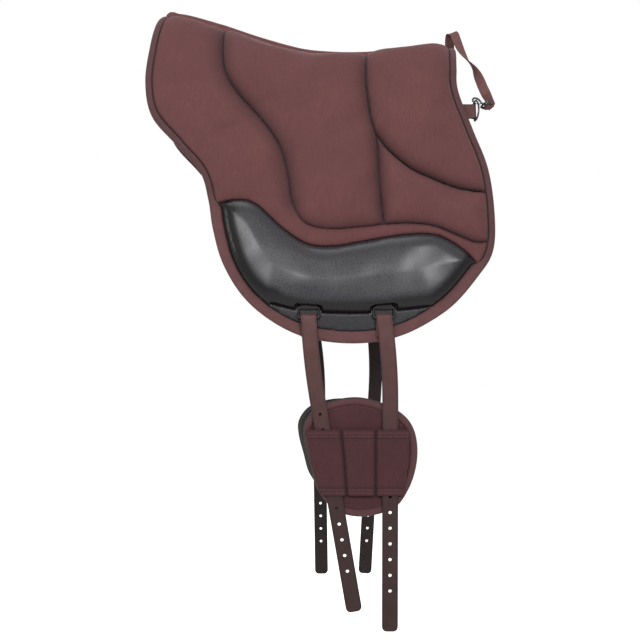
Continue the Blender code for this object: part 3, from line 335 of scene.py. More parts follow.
def drape(places):
    """Take flat places (along, drop, height) to their places on the horse."""
    along, drop, height = np.asarray(places, float).reshape(-1, 3).T
    depth = np.abs(drop)
    slope = np.interp(depth, DROPS, SLOPES)
    across = np.interp(depth, DROPS, ACROSS) + height * np.sin(slope)
    up = np.interp(along, *SPINE.T) + np.interp(depth, DROPS, UPS) + height * np.cos(slope)
    return np.column_stack([along, -np.sign(drop) * across, up])


def draped(along, drop, height):
    return Vector(drape((along, drop, height))[0])


def drop_at(along, up, height):
    """The drop at which the near side, at this height over the lining, is this far up."""
    drops = np.linspace(0, FLAP_DROP, 4000)
    ups = drape(np.column_stack([np.full(4000, along), drops, np.full(4000, height)]))[:, 2]
    return float(np.interp(-up, -ups, drops))


def flat(shares):
    return [(along * PAD_LENGTH, drop * FLAP_DROP) for along, drop in shares]


def shifted(line, distance, closed=False):
    """The line moved sideways by this distance, to the left of its run, with mitred corners."""
    moved = []
    count = len(line)
    for index, point in enumerate(line):
        before = line[index - 1] if index or closed else point
        after = line[(index + 1) % count] if index < count - 1 or closed else point
        runs = (point - before, after - point)
        ways = [run.normalized() for run in runs if run.length]
        way = (ways[0] + ways[-1]).normalized()
        side = Vector((-way.y, way.x))
        moved.append(point + side * distance / max(0.4, way.dot(ways[0])))
    return moved


def nearest(line, point):
    best = (math.inf, 0.0)
    for index, (a, b) in enumerate(zip(line, line[1:])):
        run = b - a
        t = min(1.0, max(0.0, (Vector(point) - a).dot(run) / run.length_squared))
        best = min(best, ((a + run * t - Vector(point)).length, index + t))
    return best[1]


def run_of(line, start, end):
    """The stretch of the line between its nearest places to two points, in that direction."""
    first, last = nearest(line, start), nearest(line, end)

    def at(place):
        index = min(int(place), len(line) - 2)
        return line[index].lerp(line[index + 1], place - index)

    low, high = min(first, last), max(first, last)
    inner = [line[i] for i in range(len(line)) if low + 0.3 < i < high - 0.3]
    run = [at(low), *inner, at(high)]
    return run if first < last else run[::-1]


def seamed(outline, distance=SEAM_WIDTH / 2):
    """A closed outline drawn in by half a seam, whichever way it runs."""
    area = sum(a.cross(b) for a, b in zip(outline, [*outline[1:], outline[0]]))
    return shifted(outline, math.copysign(distance, area), closed=True)


def both(edge, distance):
    """The outline of both flaps drawn in by a distance."""
    line = shifted(edge, -distance)
    return line + [Vector((point.x, -point.y)) for point in line[-2:0:-1]]


def half(edge, distance, start):
    """The near half of the pad's outline drawn in by a distance, closed beside the spine."""
    line = shifted(edge, -distance)
    front, rear = Vector((line[0].x, start)), Vector((line[-1].x, start))
    return [front, *(point for point in line if point.y > start + GAP), rear]


def crossing(line, drop, along):
    """Where the line crosses this drop, nearest to this along."""
    found = []
    for a, b in zip(line, line[1:]):
        if (a.y - drop) * (b.y - drop) < 0:
            found.append(a.lerp(b, (drop - a.y) / (b.y - a.y)))
    return min(found, key=lambda point: abs(point.x - along))


FINE = 0.005
CELL, BODY_CELL, STRIP_CELL, LINING_CELL = 0.0048, 0.006, 0.008, 0.010
EDGE = smooth(flat(EDGE_SHARES), FINE)


def panel_outlines():
    """The near side's panel outlines and the knee patch's top seam, all in the flat."""
    inner = shifted(EDGE, -CUSHION_MARGIN)
    drawn = (SWEEP_SHARES, MIDDLE_SHARES, CANTLE_SHARES, LOW_SHARES)
    sweep, middle, cantle, low = (smooth(flat(shares), FINE) for shares in drawn)
    patch_top = smooth(flat(PATCH_SHARES), FINE)
    strip_side = SPINE_STRIP_WIDTH / 2 + SEAM_WIDTH
    sweep, middle = (
        [Vector((line[0].x, strip_side)), *(p for p in line if p.y > strip_side + FINE / 2)]
        for line in (sweep, middle)
    )
    rear_top = run_of(inner, inner[-1], (inner[-1].x, strip_side))[-1]
    front_top = run_of(inner, inner[0], (inner[0].x, strip_side))[-1]
    corner, low_end, junction = sweep[-1], low[-1], cantle[0]
    front = [front_top, *run_of(inner, front_top, patch_top[0])[1:], *patch_top[1:-1]]
    front += [*run_of(inner, patch_top[-1], low_end), *low[::-1][1:], *sweep[::-1][1:]]
    seat = [*sweep, *run_of(middle, corner, middle[0])[1:]]
    cantle_panel = [*run_of(middle, middle[0], junction)[:-1], *cantle[:-1]]
    cantle_panel += run_of(inner, cantle[-1], rear_top)
    rear = [*run_of(middle, junction, corner)[:-1], *low[:-1]]
    rear += [*run_of(inner, low_end, cantle[-1]), *cantle[::-1][1:-1]]
    bend, turn = flat(SWEEP_SHARES[4:5])[0], flat(SWEEP_SHARES[7:8])[0]
    seams = {
        "sweep": run_of(sweep, sweep[0], turn),
        "sweep_top": run_of(sweep, sweep[0], bend),
        "seat_foot": run_of(sweep, turn, corner),
        "middle": run_of(middle, middle[0], junction),
        "gusset": run_of(middle, junction, corner),
        "cantle": cantle,
        "low": low,
    }
    return patch_top, {"front": front, "seat": seat, "cantle": cantle_panel, "rear": rear}, seams


# Finishes


def add(tree, kind, inputs=None, **settings):
    """Add a node to a finish, with its inputs set or linked, and return it."""
    item = tree.nodes.new("ShaderNode" + kind)
    for key, value in settings.items():
        setattr(item, key, value)
    for key, value in (inputs or {}).items():
        if isinstance(value, bpy.types.NodeSocket):
            tree.links.new(value, item.inputs[key])
        else:
            item.inputs[key].default_value = value
    return item


def new_finish(name, roughness, metallic=0.0, specular=0.5):
    paint = bpy.data.materials.new(name)
    paint.use_nodes = True
    shader = paint.node_tree.nodes["Principled BSDF"]
    shader.inputs["Roughness"].default_value = roughness
    shader.inputs["Metallic"].default_value = metallic
    shader.inputs["Specular IOR Level"].default_value = specular
    return paint, paint.node_tree, shader


def linear(red, green, blue):
    """A colour as it is seen, in steps of 255, as the light it stands for."""
    return tuple(((c / 255 + 0.055) / 1.055) ** 2.4 for c in (red, green, blue))


def blended(tree, factor, first, second, mode="MIX"):
    """Mix two colours, each a colour or a socket."""
    inputs = {0: factor}
    for index, value in ((6, first), (7, second)):
        inputs[index] = value if isinstance(value, bpy.types.NodeSocket) else (*value, 1)
    return add(tree, "Mix", inputs, data_type="RGBA", blend_type=mode).outputs[2]


def toned(tree, colour, tone):
    """A colour, or a socket's colour, made lighter or darker by a tone."""
    tint = add(tree, "CombineXYZ", {"X": tone, "Y": tone, "Z": tone}).outputs[0]
    return blended(tree, 1.0, colour, tint, "MULTIPLY")


def sums(tree, operation, first, second=0.0, third=0.0):
    inputs = {0: first, 1: second, 2: third}
    return add(tree, "Math", inputs, operation=operation).outputs[0]


def noted(tree, title):
    """What the piece's vertices say under this title."""
    return add(tree, "Attribute", attribute_name=title).outputs["Fac"]


def dress(tree, shader, base, height, distance, strength):
    """Give a finish its colour and its relief."""
    tree.links.new(base, shader.inputs["Base Color"])
    inputs = {"Height": height, "Distance": distance, "Strength": strength}
    tree.links.new(add(tree, "Bump", inputs).outputs["Normal"], shader.inputs["Normal"])


def ranged(tree, value, low, high, start=0.0, end=1.0, smoothly=True):
    kind = "SMOOTHSTEP" if smoothly else "LINEAR"
    inputs = {"Value": value, "From Min": low, "From Max": high, "To Min": start, "To Max": end}
    return add(tree, "MapRange", inputs, interpolation_type=kind).outputs["Result"]


def grain(tree, place, scale, detail=2.0, roughness=0.5):
    inputs = {"Vector": place, "Scale": scale, "Detail": detail, "Roughness": roughness}
    return add(tree, "TexNoise", inputs).outputs["Fac"]


def places(tree):
    return add(tree, "TexCoord").outputs["Object"]


def flat_places(tree):
    """Where on the flat piece this is: along it and across it, in metres."""
    return add(tree, "UVMap", uv_map="flat").outputs["UV"]


def parts_of(tree, vector):
    item = add(tree, "SeparateXYZ", {"Vector": vector})
    return item.outputs["X"], item.outputs["Y"]


def walls(tree, inputs):
    """How far each place is from the walls between scattered cells."""
    return add(tree, "TexVoronoi", inputs, feature="DISTANCE_TO_EDGE").outputs["Distance"]


def wave(tree, value, pitch):
    """A sine of a length, once each pitch, between 0 and 1."""
    turned = sums(tree, "SINE", sums(tree, "MULTIPLY", value, 2 * math.pi / pitch))
    return sums(tree, "MULTIPLY_ADD", turned, 0.5, 0.5)


# How far in from a panel's outline the painted shade of its seam hollow reaches
SEAM_SHADE_REACH = 0.0035
SUEDE_PITCH = 0.0011


def suede_finish(name, colour, seam_shade_colour=None):
    """Brushed suede: soft mottling, a short nap over a faint weave, and painted shade at seams."""
    paint, tree, shader = new_finish(name, 0.88, specular=0.25)
    at = places(tree)
    broad = grain(tree, at, 14, 3, 0.6)
    fine = grain(tree, at, 620, 3, 0.7)
    drawn_out = add(tree, "Mapping", {"Vector": at, "Scale": (260, 260, 55)}).outputs[0]
    brushed = grain(tree, drawn_out, 1.0, 2, 0.6)
    tone = sums(tree, "MULTIPLY_ADD", broad, 0.34, 0.74)
    tone = sums(tree, "MULTIPLY", tone, sums(tree, "MULTIPLY_ADD", fine, 0.40, 0.82))
    tone = sums(tree, "MULTIPLY", tone, sums(tree, "MULTIPLY_ADD", brushed, 0.30, 0.88))
    base = toned(tree, colour, tone)
    # Painted shade: dark in each seam's hollow, and beside seams as far as the shade attribute says
    if seam_shade_colour:
        seam_hollow_shade = ranged(tree, noted(tree, "seam_depth"), 0.0, SEAM_SHADE_REACH, 0.40, 0.0)
        base = blended(tree, seam_hollow_shade, base, seam_shade_colour)
        base = blended(tree, noted(tree, "shade"), base, seam_shade_colour)
    across, down = parts_of(tree, flat_places(tree))
    weave = sums(tree, "MULTIPLY", wave(tree, across, SUEDE_PITCH), wave(tree, down, SUEDE_PITCH))
    height = sums(tree, "MULTIPLY_ADD", weave, 0.25, fine)
    height = sums(tree, "ADD", height, sums(tree, "MULTIPLY", brushed, 0.8))
    dress(tree, shader, base, height, 0.0005, 0.55)
    shader.inputs["Sheen Weight"].default_value = 0.18
    shader.inputs["Sheen Roughness"].default_value = 0.45
    shader.inputs["Sheen Tint"].default_value = (0.55, 0.36, 0.36, 1)
    return paint


def tape_finish(name, colour, pitch):
    """Ribbed tape or webbing: ribs across its length, a worn, uneven colour, and painted shade where
    noted.
    """
    paint, tree, shader = new_finish(name, 0.82, specular=0.3)
    at = places(tree)
    along, across = parts_of(tree, flat_places(tree))
    ribs = wave(tree, along, pitch)
    picks = wave(tree, across, pitch * 1.4)
    woven = sums(tree, "MULTIPLY", ribs, sums(tree, "MULTIPLY_ADD", picks, 0.4, 0.6))
    tone = sums(tree, "MULTIPLY_ADD", woven, 0.40, 0.72)
    worn = sums(tree, "MULTIPLY_ADD", grain(tree, at, 70, 3, 0.6), 0.5, 0.75)
    base = toned(tree, colour, sums(tree, "MULTIPLY", tone, worn))
    # Painted shade, where the piece's vertices carry a shade
    base = blended(tree, noted(tree, "shade"), base, tuple(c * 0.35 for c in colour))
    height = sums(tree, "ADD", woven, sums(tree, "MULTIPLY", grain(tree, at, 900, 2), 0.4))
    dress(tree, shader, base, height, 0.0003, 0.8)
    shader.inputs["Sheen Weight"].default_value = 0.15
    shader.inputs["Sheen Tint"].default_value = (0.6, 0.45, 0.45, 1)
    return paint


def leather_finish(name, high_colour, low_shade_colour, edge_colour):
    """Strap leather: a creased line inside each edge, darker dyed edges, pores, uneven gloss, and
    painted shade lower down.
    """
    paint, tree, shader = new_finish(name, 0.52, specular=0.2)
    half_width = BILLET_WIDTH / 2
    at = places(tree)
    along, across = parts_of(tree, flat_places(tree))
    out = sums(tree, "ABSOLUTE", across)
    # Painted shade: the colour darkens from high up the strap to low down
    down = ranged(tree, along, 0.02, 0.36, smoothly=False)
    base = blended(tree, down, high_colour, low_shade_colour)
    tone = sums(tree, "MULTIPLY_ADD", grain(tree, at, 38, 4, 0.62), 0.55, 0.73)
    base = toned(tree, base, tone)
    edge = ranged(tree, out, half_width - 0.0012, half_width - 0.0002)
    base = blended(tree, sums(tree, "MULTIPLY", edge, 0.75), base, edge_colour)
    crease_far = sums(tree, "ABSOLUTE", sums(tree, "SUBTRACT", out, half_width - 0.0024))
    crease = ranged(tree, crease_far, 0.0, 0.0005, 1.0, 0.0)
    base = blended(tree, sums(tree, "MULTIPLY", crease, 0.45), base, edge_colour)
    wrinkles = sums(tree, "MULTIPLY", grain(tree, at, 420, 4, 0.65), 0.6)
    height = sums(tree, "MULTIPLY_ADD", walls(tree, {"Vector": at, "Scale": 1300.0}), 0.5, wrinkles)
    height = sums(tree, "SUBTRACT", height, sums(tree, "MULTIPLY", crease, 1.4))
    dress(tree, shader, base, height, 0.0003, 0.6)
    dulled = ranged(tree, grain(tree, at, 60, 3), 0.3, 0.7, 0.44, 0.66)
    tree.links.new(dulled, shader.inputs["Roughness"])
    return paint


def patch_finish(name, colour, specular):
    """The grippy black patch: a fine crossed grain under a soft gloss, and painted shade at its
    edges.
    """
    paint, tree, shader = new_finish(name, 0.36, specular=specular)
    at = places(tree)
    along, down = parts_of(tree, flat_places(tree))
    rising = sums(tree, "ADD", along, sums(tree, "MULTIPLY", down, 0.55))
    falling = sums(tree, "SUBTRACT", along, sums(tree, "MULTIPLY", down, 1.6))
    cells = sums(tree, "MAXIMUM", wave(tree, rising, 0.0034), wave(tree, falling, 0.0040))
    speckle = grain(tree, at, 620, 3, 0.7)
    tone = sums(tree, "MULTIPLY_ADD", cells, 1.5, 0.10)
    tone = sums(tree, "MULTIPLY", tone, sums(tree, "MULTIPLY_ADD", speckle, 2.2, -0.10))
    base = toned(tree, colour, tone)
    # Painted shade: dark in the seam, and near black along the rolled edges, whose grain is flattened
    # too
    seam_hollow_shade = ranged(tree, noted(tree, "seam_depth"), 0.0, 0.003, 0.6, 0.0)
    painted_roll_shade = ranged(tree, noted(tree, "shade"), 0.10, 0.45, 0.0, 0.97)
    for dark in (seam_hollow_shade, painted_roll_shade):
        base = blended(tree, dark, base, linear(9, 8, 10))
    height = sums(tree, "ADD", cells, sums(tree, "MULTIPLY", speckle, 0.9))
    height = sums(tree, "MULTIPLY", height, sums(tree, "SUBTRACT", 1.0, painted_roll_shade))
    dress(tree, shader, base, height, 0.00005, 0.6)
    tree.links.new(ranged(tree, speckle, 0.3, 0.7, 0.22, 0.36), shader.inputs["Roughness"])
    return paint


def lining_finish(name, colour, cell):
    """Open spacer mesh: small hexagon holes in a dark knit, the holes painted darker as shade."""
    paint, tree, shader = new_finish(name, 0.72, specular=0.35)
    inside = walls(tree, {"Vector": flat_places(tree), "Scale": 1 / cell, "Randomness": 0.12})
    # Painted shade in the holes, away from the knit's walls
    wall = ranged(tree, inside, 0.10, 0.22, 1.0, 0.0)
    base = blended(tree, wall, tuple(c * 0.25 for c in colour), colour)
    height = sums(tree, "ADD", wall, sums(tree, "MULTIPLY", grain(tree, places(tree), 800, 2), 0.2))
    dress(tree, shader, base, height, cell * 0.25, 0.9)
    return paint


def metal_finish(name, colour, roughness):
    """Gunmetal plate, with fine handling marks."""
    paint, tree, shader = new_finish(name, roughness, metallic=1.0)
    marks = grain(tree, places(tree), 240, 4, 0.7)
    base = blended(tree, marks, tuple(c * 0.75 for c in colour), colour)
    dulled = ranged(tree, marks, 0.3, 0.7, roughness - 0.06, roughness + 0.12)
    tree.links.new(dulled, shader.inputs["Roughness"])
    dress(tree, shader, base, marks, 0.0001, 0.25)
    return paint


def thread_finish(name, colour):
    """Twisted sewing thread."""
    paint, tree, shader = new_finish(name, 0.7, specular=0.35)
    fibres = grain(tree, places(tree), 2600, 2, 0.6)
    base = toned(tree, colour, sums(tree, "MULTIPLY_ADD", fibres, 0.8, 0.6))
    dress(tree, shader, base, fibres, 0.0001, 0.5)
    return paint


# Each suede's second colour is its painted shade, for seam hollows and grooves
SUEDE = suede_finish("brown_suede", linear(85, 51, 51), linear(43, 25, 27))
GUARD_SUEDE = suede_finish("guard_suede", linear(61, 33, 36), linear(28, 16, 18))
GUARD_ROLL = suede_finish("guard_roll_suede", linear(76, 47, 49))
STRIP_TAPE = suede_finish("spine_strip_suede", linear(94, 58, 56))
PATCH = patch_finish("black_grip_patch", linear(44, 43, 46), 0.21)
PATCH_FOOT_GRIP = patch_finish("black_grip_foot", linear(36, 35, 37), 0.10)
BINDING = tape_finish("binding_tape", linear(88, 56, 56), 0.0014)
WEBBING = tape_finish("brown_webbing", linear(80, 52, 50), 0.0016)
BLACK_WEBBING = tape_finish("black_webbing", linear(30, 27, 28), 0.0016)
STRAP = tape_finish("tail_strap_webbing", linear(94, 61, 59), 0.0016)
# The billets' hide: its colour high up, its colour low down with painted shade, and its dyed edges
HIDE = linear(73, 46, 44), linear(44, 28, 27), linear(22, 13, 13)
LEATHER = leather_finish("billet_leather", *HIDE)
# The flesh side, darkened well past its own colour with painted shade on the inner faces
FLESH_AND_SHADE_HIDE = linear(34, 20, 20), linear(27, 16, 16), linear(14, 8, 8)
FLESH_SIDE_AND_SHADE = leather_finish("billet_flesh_side_and_shade", *FLESH_AND_SHADE_HIDE)
LINING_CLOTH = lining_finish("lining_knit", linear(34, 31, 32), 0.0042)
GUARD_MESH = lining_finish("guard_spacer_mesh", linear(50, 47, 46), 0.0052)
METAL = metal_finish("gunmetal", linear(74, 72, 74), 0.26)
BLACK_STEEL = metal_finish("blackened_steel", linear(50, 48, 50), 0.34)
THREAD = thread_finish("brown_thread", linear(98, 64, 64))
GREY_THREAD = thread_finish("grey_thread", linear(122, 120, 124))


# Making pieces


def mesh_of(bm, name):
    mesh = bpy.data.meshes.new(name)
    bm.to_mesh(mesh)
    bm.free()
    return mesh


def placed(name, data):
    item = bpy.data.objects.new(name, data)
    bpy.context.scene.collection.objects.link(item)
    return item


def around(degrees):
    turn = math.radians(degrees)
    return math.cos(turn), math.sin(turn)


def settle(bm, name, paint, stands_for, body="pad", slot="suede", fine=0, sharp=None):
    """Turn a bmesh into a finished piece that rides with its body and stands for its CAD nodes."""
    bmesh.ops.recalc_face_normals(bm, faces=bm.faces)
    if bm.calc_volume(signed=True) < 0:
        bmesh.ops.reverse_faces(bm, faces=bm.faces)
    for face in bm.faces:
        face.smooth = True
    mesh = mesh_of(bm, name)
    if sharp:
        mesh.set_sharp_from_angle(angle=math.radians(sharp))
    for finish in paint if isinstance(paint, list) else [paint]:
        mesh.materials.append(finish)
    item = placed(name, mesh)
    if fine:
        detail = item.modifiers.new("rounding", "SUBSURF")
        detail.levels = detail.render_levels = fine
        detail.boundary_smooth = "PRESERVE_CORNERS"
    if stands_for:
        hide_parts(*stands_for)
    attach(item, body)
    return item


def gap_to(line, points, closed=False):
    """How far each point lies from a line, or from a closed outline."""
    starts = np.array([tuple(p) for p in line], float)
    runs = np.roll(starts, -1, axis=0) - starts
    if not closed:
        starts, runs = starts[:-1], runs[:-1]
    lengths = np.maximum((runs**2).sum(1), 1e-18)
    depths = []
    for point in np.asarray(points, float):
        t = np.clip(((point - starts) * runs).sum(1) / lengths, 0, 1)
        depths.append(np.sqrt((((starts + runs * t[:, None]) - point) ** 2).sum(1).min()))
    return np.array(depths)


def cut_panel(outline, cell):
    """A flat panel cut from its outline, in cells fine enough to bend."""
    bm = bmesh.new()
    corners = [bm.verts.new((point[0], point[1], 0)) for point in outline]
    bm.faces.new(corners).normal_update()
    spots = np.array([tuple(point) for point in outline])
    for axis, normal in ((0, (1, 0, 0)), (1, (0, 1, 0))):
        low, high = spots[:, axis].min(), spots[:, axis].max()
        for index in range(1, int((high - low) / cell) + 1):
            place = [0, 0, 0]
            place[axis] = low + cell * index
            geometry = bm.verts[:] + bm.edges[:] + bm.faces[:]
            plane = {"plane_co": place, "plane_no": normal}
            bmesh.ops.bisect_plane(bm, geom=geometry, dist=cell / 50, **plane)
    for kept in (corners, [vert for vert in bm.verts if vert.is_boundary]):
        kept = [vert for vert in kept if vert.is_valid]
        found = bmesh.ops.find_doubles(bm, verts=bm.verts[:], keep_verts=kept, dist=cell * 0.45)
        bmesh.ops.weld_verts(bm, targetmap=found["targetmap"])
    bmesh.ops.triangulate(bm, faces=bm.faces[:])
    bmesh.ops.beautify_fill(bm, faces=bm.faces[:], edges=[e for e in bm.edges if not e.is_boundary])
    inner = [vert for vert in bm.verts if not vert.is_boundary]
    for _ in range(3):
        bmesh.ops.smooth_vert(bm, verts=inner, factor=0.5, use_axis_x=True, use_axis_y=True)
    bm.normal_update()
    return bm


def shaded(spots, shades):
    """How dark each place is painted as shade, beside seams given with their strength and reach."""
    dark = np.zeros(len(spots))
    for line, strength, reach in shades:
        dark = np.maximum(dark, strength * np.clip(1 - gap_to(line, spots) / reach, 0, 1) ** 1.5)
    return dark


def note_flat(bm, outline, side, shades=()):
    """Keep on the panel each vertex's flat place, its depth inside the outline and its painted shade.
    """
    flat_map = bm.loops.layers.uv.new("flat")
    kept = bm.verts.layers.float_vector.new("flat_place")
    for title in ("seam_depth", "shade"):
        bm.verts.layers.float.new(title)
    deep, shade = (bm.verts.layers.float[title] for title in ("seam_depth", "shade"))
    spots = [(vert.co.x, vert.co.y) for vert in bm.verts]
    depths = gap_to(outline, spots, closed=True)
    for vert, depth, dark in zip(bm.verts, depths, shaded(spots, shades)):
        vert[kept] = (vert.co.x, vert.co.y * side, 0)
        vert[deep] = depth
        vert[shade] = dark
    for face in bm.faces:
        for loop in face.loops:
            loop[flat_map].uv = loop.vert.co.xy
    return kept, deep


def hang(verts, kept, heights):
    """Drape these vertices at their heights over the lining's underside."""
    flat_spots = np.array([tuple(vert[kept]) for vert in verts])
    flat_spots[:, 2] = heights
    for vert, place in zip(verts, drape(flat_spots)):
        vert.co = place


def doubled(bm):
    """Close a panel with a second layer, and return the front's vertices and the back's."""
    made = bmesh.ops.extrude_face_region(bm, geom=bm.faces[:])["geom"]
    front = [item for item in made if isinstance(item, bmesh.types.BMVert)]
    known = set(front)
    return front, [vert for vert in bm.verts if vert not in known]


def back_panel(bm, kept, low):
    """Close a draped panel with a back, laid at an even height or at each vertex's own."""
    hang(doubled(bm)[1], kept, low)


def crown(depths, height, roll):
    """A padded rise: round at the seam, and flat once the roll is passed."""
    inside = np.clip(depths / roll, 0, 1)
    return height * np.sqrt(1 - (1 - inside) ** 2)


def pillow(depths, height, reach):
    """A slow rise towards the middle of a cushion."""
    return height * (1 - (1 - np.clip(depths / reach, 0, 1)) ** 2)


def uneven(spots, size, amount, seed):
    """The slight unevenness of stuffing and hand-laid cloth."""
    return np.array([noise.noise(Vector((x / size, y / size, seed))) * amount for x, y in spots])


SWELLING = []


def quilted(name, outline, side, rises, paint, stands_for, fill, shades, slot="suede", rim=None):
    """A padded cushion's cover, which rises from its seams over the foam and is yet to swell."""
    bm = cut_panel(outline, CELL)
    kept, deep = note_flat(bm, rim or outline, side, shades)
    if side < 0:
        bmesh.ops.reverse_faces(bm, faces=bm.faces[:])
    depths = np.array([vert[deep] for vert in bm.verts])
    spots = [tuple(vert[kept])[:2] for vert in bm.verts]
    inside = np.clip(depths / rises[0][1], 0, 1)
    heights = crown(depths, *rises[0]) + pillow(depths, *rises[1])
    lying = np.clip((np.abs([y for _, y in spots]) - SPINE_STRIP_WIDTH / 2) / SPINE_REACH, 0.05, 1)
    heights = ON_COVER + CUSHION_COVER + heights * lying**0.7
    hang(bm.verts, kept, heights + uneven(spots, 0.045, 0.0016, side * 3.1) * inside)
    bm.normal_update()
    pinned = [vert.index for vert in bm.verts if vert.is_boundary]
    SWELLING.append((name, mesh_of(bm, name + "_cover"), pinned, paint, stands_for, slot, fill))


def evened(mesh, move, pinned, rounds):
    """Each vertex's movement, averaged with its neighbours' this often, while the seams hold."""
    ends = np.zeros(len(mesh.edges) * 2, int)
    mesh.edges.foreach_get("vertices", ends)
    a, b = ends.reshape(-1, 2).T
    counts = 1 + np.bincount(ends, minlength=len(move))[:, None]
    for _ in range(rounds):
        total = move.copy()
        np.add.at(total, a, move[b])
        np.add.at(total, b, move[a])
        move = total / counts
        move[pinned] = 0
    return move


def spots_of(mesh):
    spots = np.zeros(len(mesh.vertices) * 3)
    mesh.vertices.foreach_get("co", spots)
    return spots.reshape(-1, 3)


def swell_all():
    """Fill the cushions: each cover swells while its seams hold, and is then closed by a back."""
    covers = []
    for name, mesh, pinned, *_ in SWELLING:
        cover = placed(name + "_cover", mesh)
        covers.append(cover)
        cover.vertex_groups.new(name="seams").add(pinned, 1.0, "REPLACE")
        cloth = cover.modifiers.new("swell", "CLOTH")
        for key, value in CLOTH.items():
            setattr(cloth.settings, key, value)
        cloth.settings.effector_weights.gravity = 0
    for step in range(1, SWELL_FRAMES + 1):
        bpy.context.scene.frame_set(step)
    for cover, (name, mesh, pinned, paint, stands_for, slot, fill) in zip(covers, SWELLING):
        rest = spots_of(mesh)
        swollen = cover.evaluated_get(bpy.context.evaluated_depsgraph_get()).to_mesh()
        move = spots_of(swollen) - rest
        length = np.linalg.norm(move, axis=1, keepdims=True)
        move *= SWELL_CAP * np.tanh(length / SWELL_CAP) / np.maximum(length, 1e-9)
        move = evened(mesh, move, pinned, PATCH_ROUNDS if paint is PATCH else CUSHION_ROUNDS)
        bm = bmesh.new()
        bm.from_mesh(mesh)
        for vert, place in zip(bm.verts, rest + move):
            vert.co = place
        bpy.data.objects.remove(cover)
        back_panel(bm, bm.verts.layers.float_vector["flat_place"], ON_COVER)
        item = settle(bm, name, paint, stands_for, slot=slot, fine=1)
        bpy.data.meshes.remove(mesh)
    bpy.context.scene.frame_set(1)


def laid(name, outline, side, low, thick, paint, nodes, cell, slot="suede", shade_at=None, fine=1):
    """A thin draped layer of even thickness."""
    bm = cut_panel(outline, cell)
    kept, deep = note_flat(bm, outline, side)
    if side < 0:
        bmesh.ops.reverse_faces(bm, faces=bm.faces[:])
    if shade_at:
        shade = bm.verts.layers.float["shade"]
        for vert in bm.verts:
            vert[shade] = shade_at(vert[kept].x, vert[kept].y * side, vert[deep])
    hang(bm.verts, kept, np.full(len(bm.verts), low + thick))
    back_panel(bm, kept, low)
    return settle(bm, name, paint, nodes, slot=slot, fine=fine)


def loft(sections, spread, closed=False):
    """A tape, tube or strap drawn through sections, mapped by its length and its spread."""
    bm = bmesh.new()
    flat_map = bm.loops.layers.uv.new("flat")
    ring = [bm.verts.new(place) for place in sections[0]]
    end = bm.faces.new(ring)
    where = {vert: (0.0, v) for vert, v in zip(ring, spread)}
    run = 0.0
    stations = [*sections[1:], sections[0]] if closed else sections[1:]
    for before, section in zip(sections, stations):
        run += (sum(section, Vector()) / len(section) - sum(before, Vector()) / len(before)).length
        end = bmesh.ops.extrude_discrete_faces(bm, faces=[end])["faces"][0]
        for vert, place, v in zip(end.verts, section, spread):
            vert.co = place
            where[vert] = (run, v)
    if closed:
        bmesh.ops.delete(bm, geom=[end], context="FACES_ONLY")
    else:
        bm.faces.new(ring[::-1])
    for face in bm.faces:
        for loop in face.loops:
            loop[flat_map].uv = where[loop.vert]
    bmesh.ops.remove_doubles(bm, verts=bm.verts[:], dist=1e-6)
    return bm


def tape_section(centre, across, out, width, thick, corner):
    """A flat strap's section, with rounded edges: across is its width, out its face."""
    a, o = across.normalized(), out.normalized()
    wide, deep = width / 2 - corner, thick / 2 - corner
    places, spread = [], []
    for u, v, start in ((1, 1, 0), (-1, 1, 90), (-1, -1, 180), (1, -1, 270)):
        for degrees in (start, start + 45, start + 90):
            c, s = around(degrees)
            x, y = wide * u + corner * c, deep * v + corner * s
            places.append(centre + a * x + o * y)
            spread.append(x)
        if v == 1 and u == 1 or v == -1 and u == -1:
            for share in (0.6, 0.2, -0.2, -0.6):
                x = wide * share * u
                places.append(centre + a * x + o * (deep + corner) * v)
                spread.append(x)
    return places, spread


def strap(path, width, thick, corner):
    """A flat strap through (place, across, out) stations."""
    made = [tape_section(place, across, out, width, thick, corner) for place, across, out in path]
    return loft([places for places, _ in made], made[0][1])


def tube(points, radius, closed=False):
    """A round tube along a line, each section turned as little as it can be from the last."""
    radii = radius if isinstance(radius, list) else [radius] * len(points)
    count = len(points)
    ways = []
    for index, point in enumerate(points):
        before = points[index - 1] if index or closed else point
        after = points[(index + 1) % count] if index < count - 1 or closed else point
        ways.append((after - before).normalized())
    side = ways[0].orthogonal().normalized()
    sections = []
    for point, way, radius in zip(points, ways, radii):
        side = (side - way * side.dot(way)).normalized()
        up = way.cross(side)
        turns = [2 * math.pi * index / TUBE_SIDES for index in range(TUBE_SIDES)]
        sections.append([point + (side * math.cos(t) + up * math.sin(t)) * radius for t in turns])
    return loft(sections, [radii[0] * min(t, 2 * math.pi - t) for t in turns], closed)


def rounded_line(points, radius, closed=True):
    """A line whose corners are rounded to this radius."""
    count = len(points)
    line = []
    for index, point in enumerate(points):
        if not closed and index in (0, count - 1):
            line.append(point)
            continue
        before, after = points[index - 1], points[(index + 1) % count]
        start = point + (before - point).normalized() * min(radius, (before - point).length / 2.1)
        end = point + (after - point).normalized() * min(radius, (after - point).length / 2.1)
        for step in range(CORNER_STEPS + 1):
            t = step / CORNER_STEPS
            line.append(start.lerp(point, t).lerp(point.lerp(end, t), t))
    return line


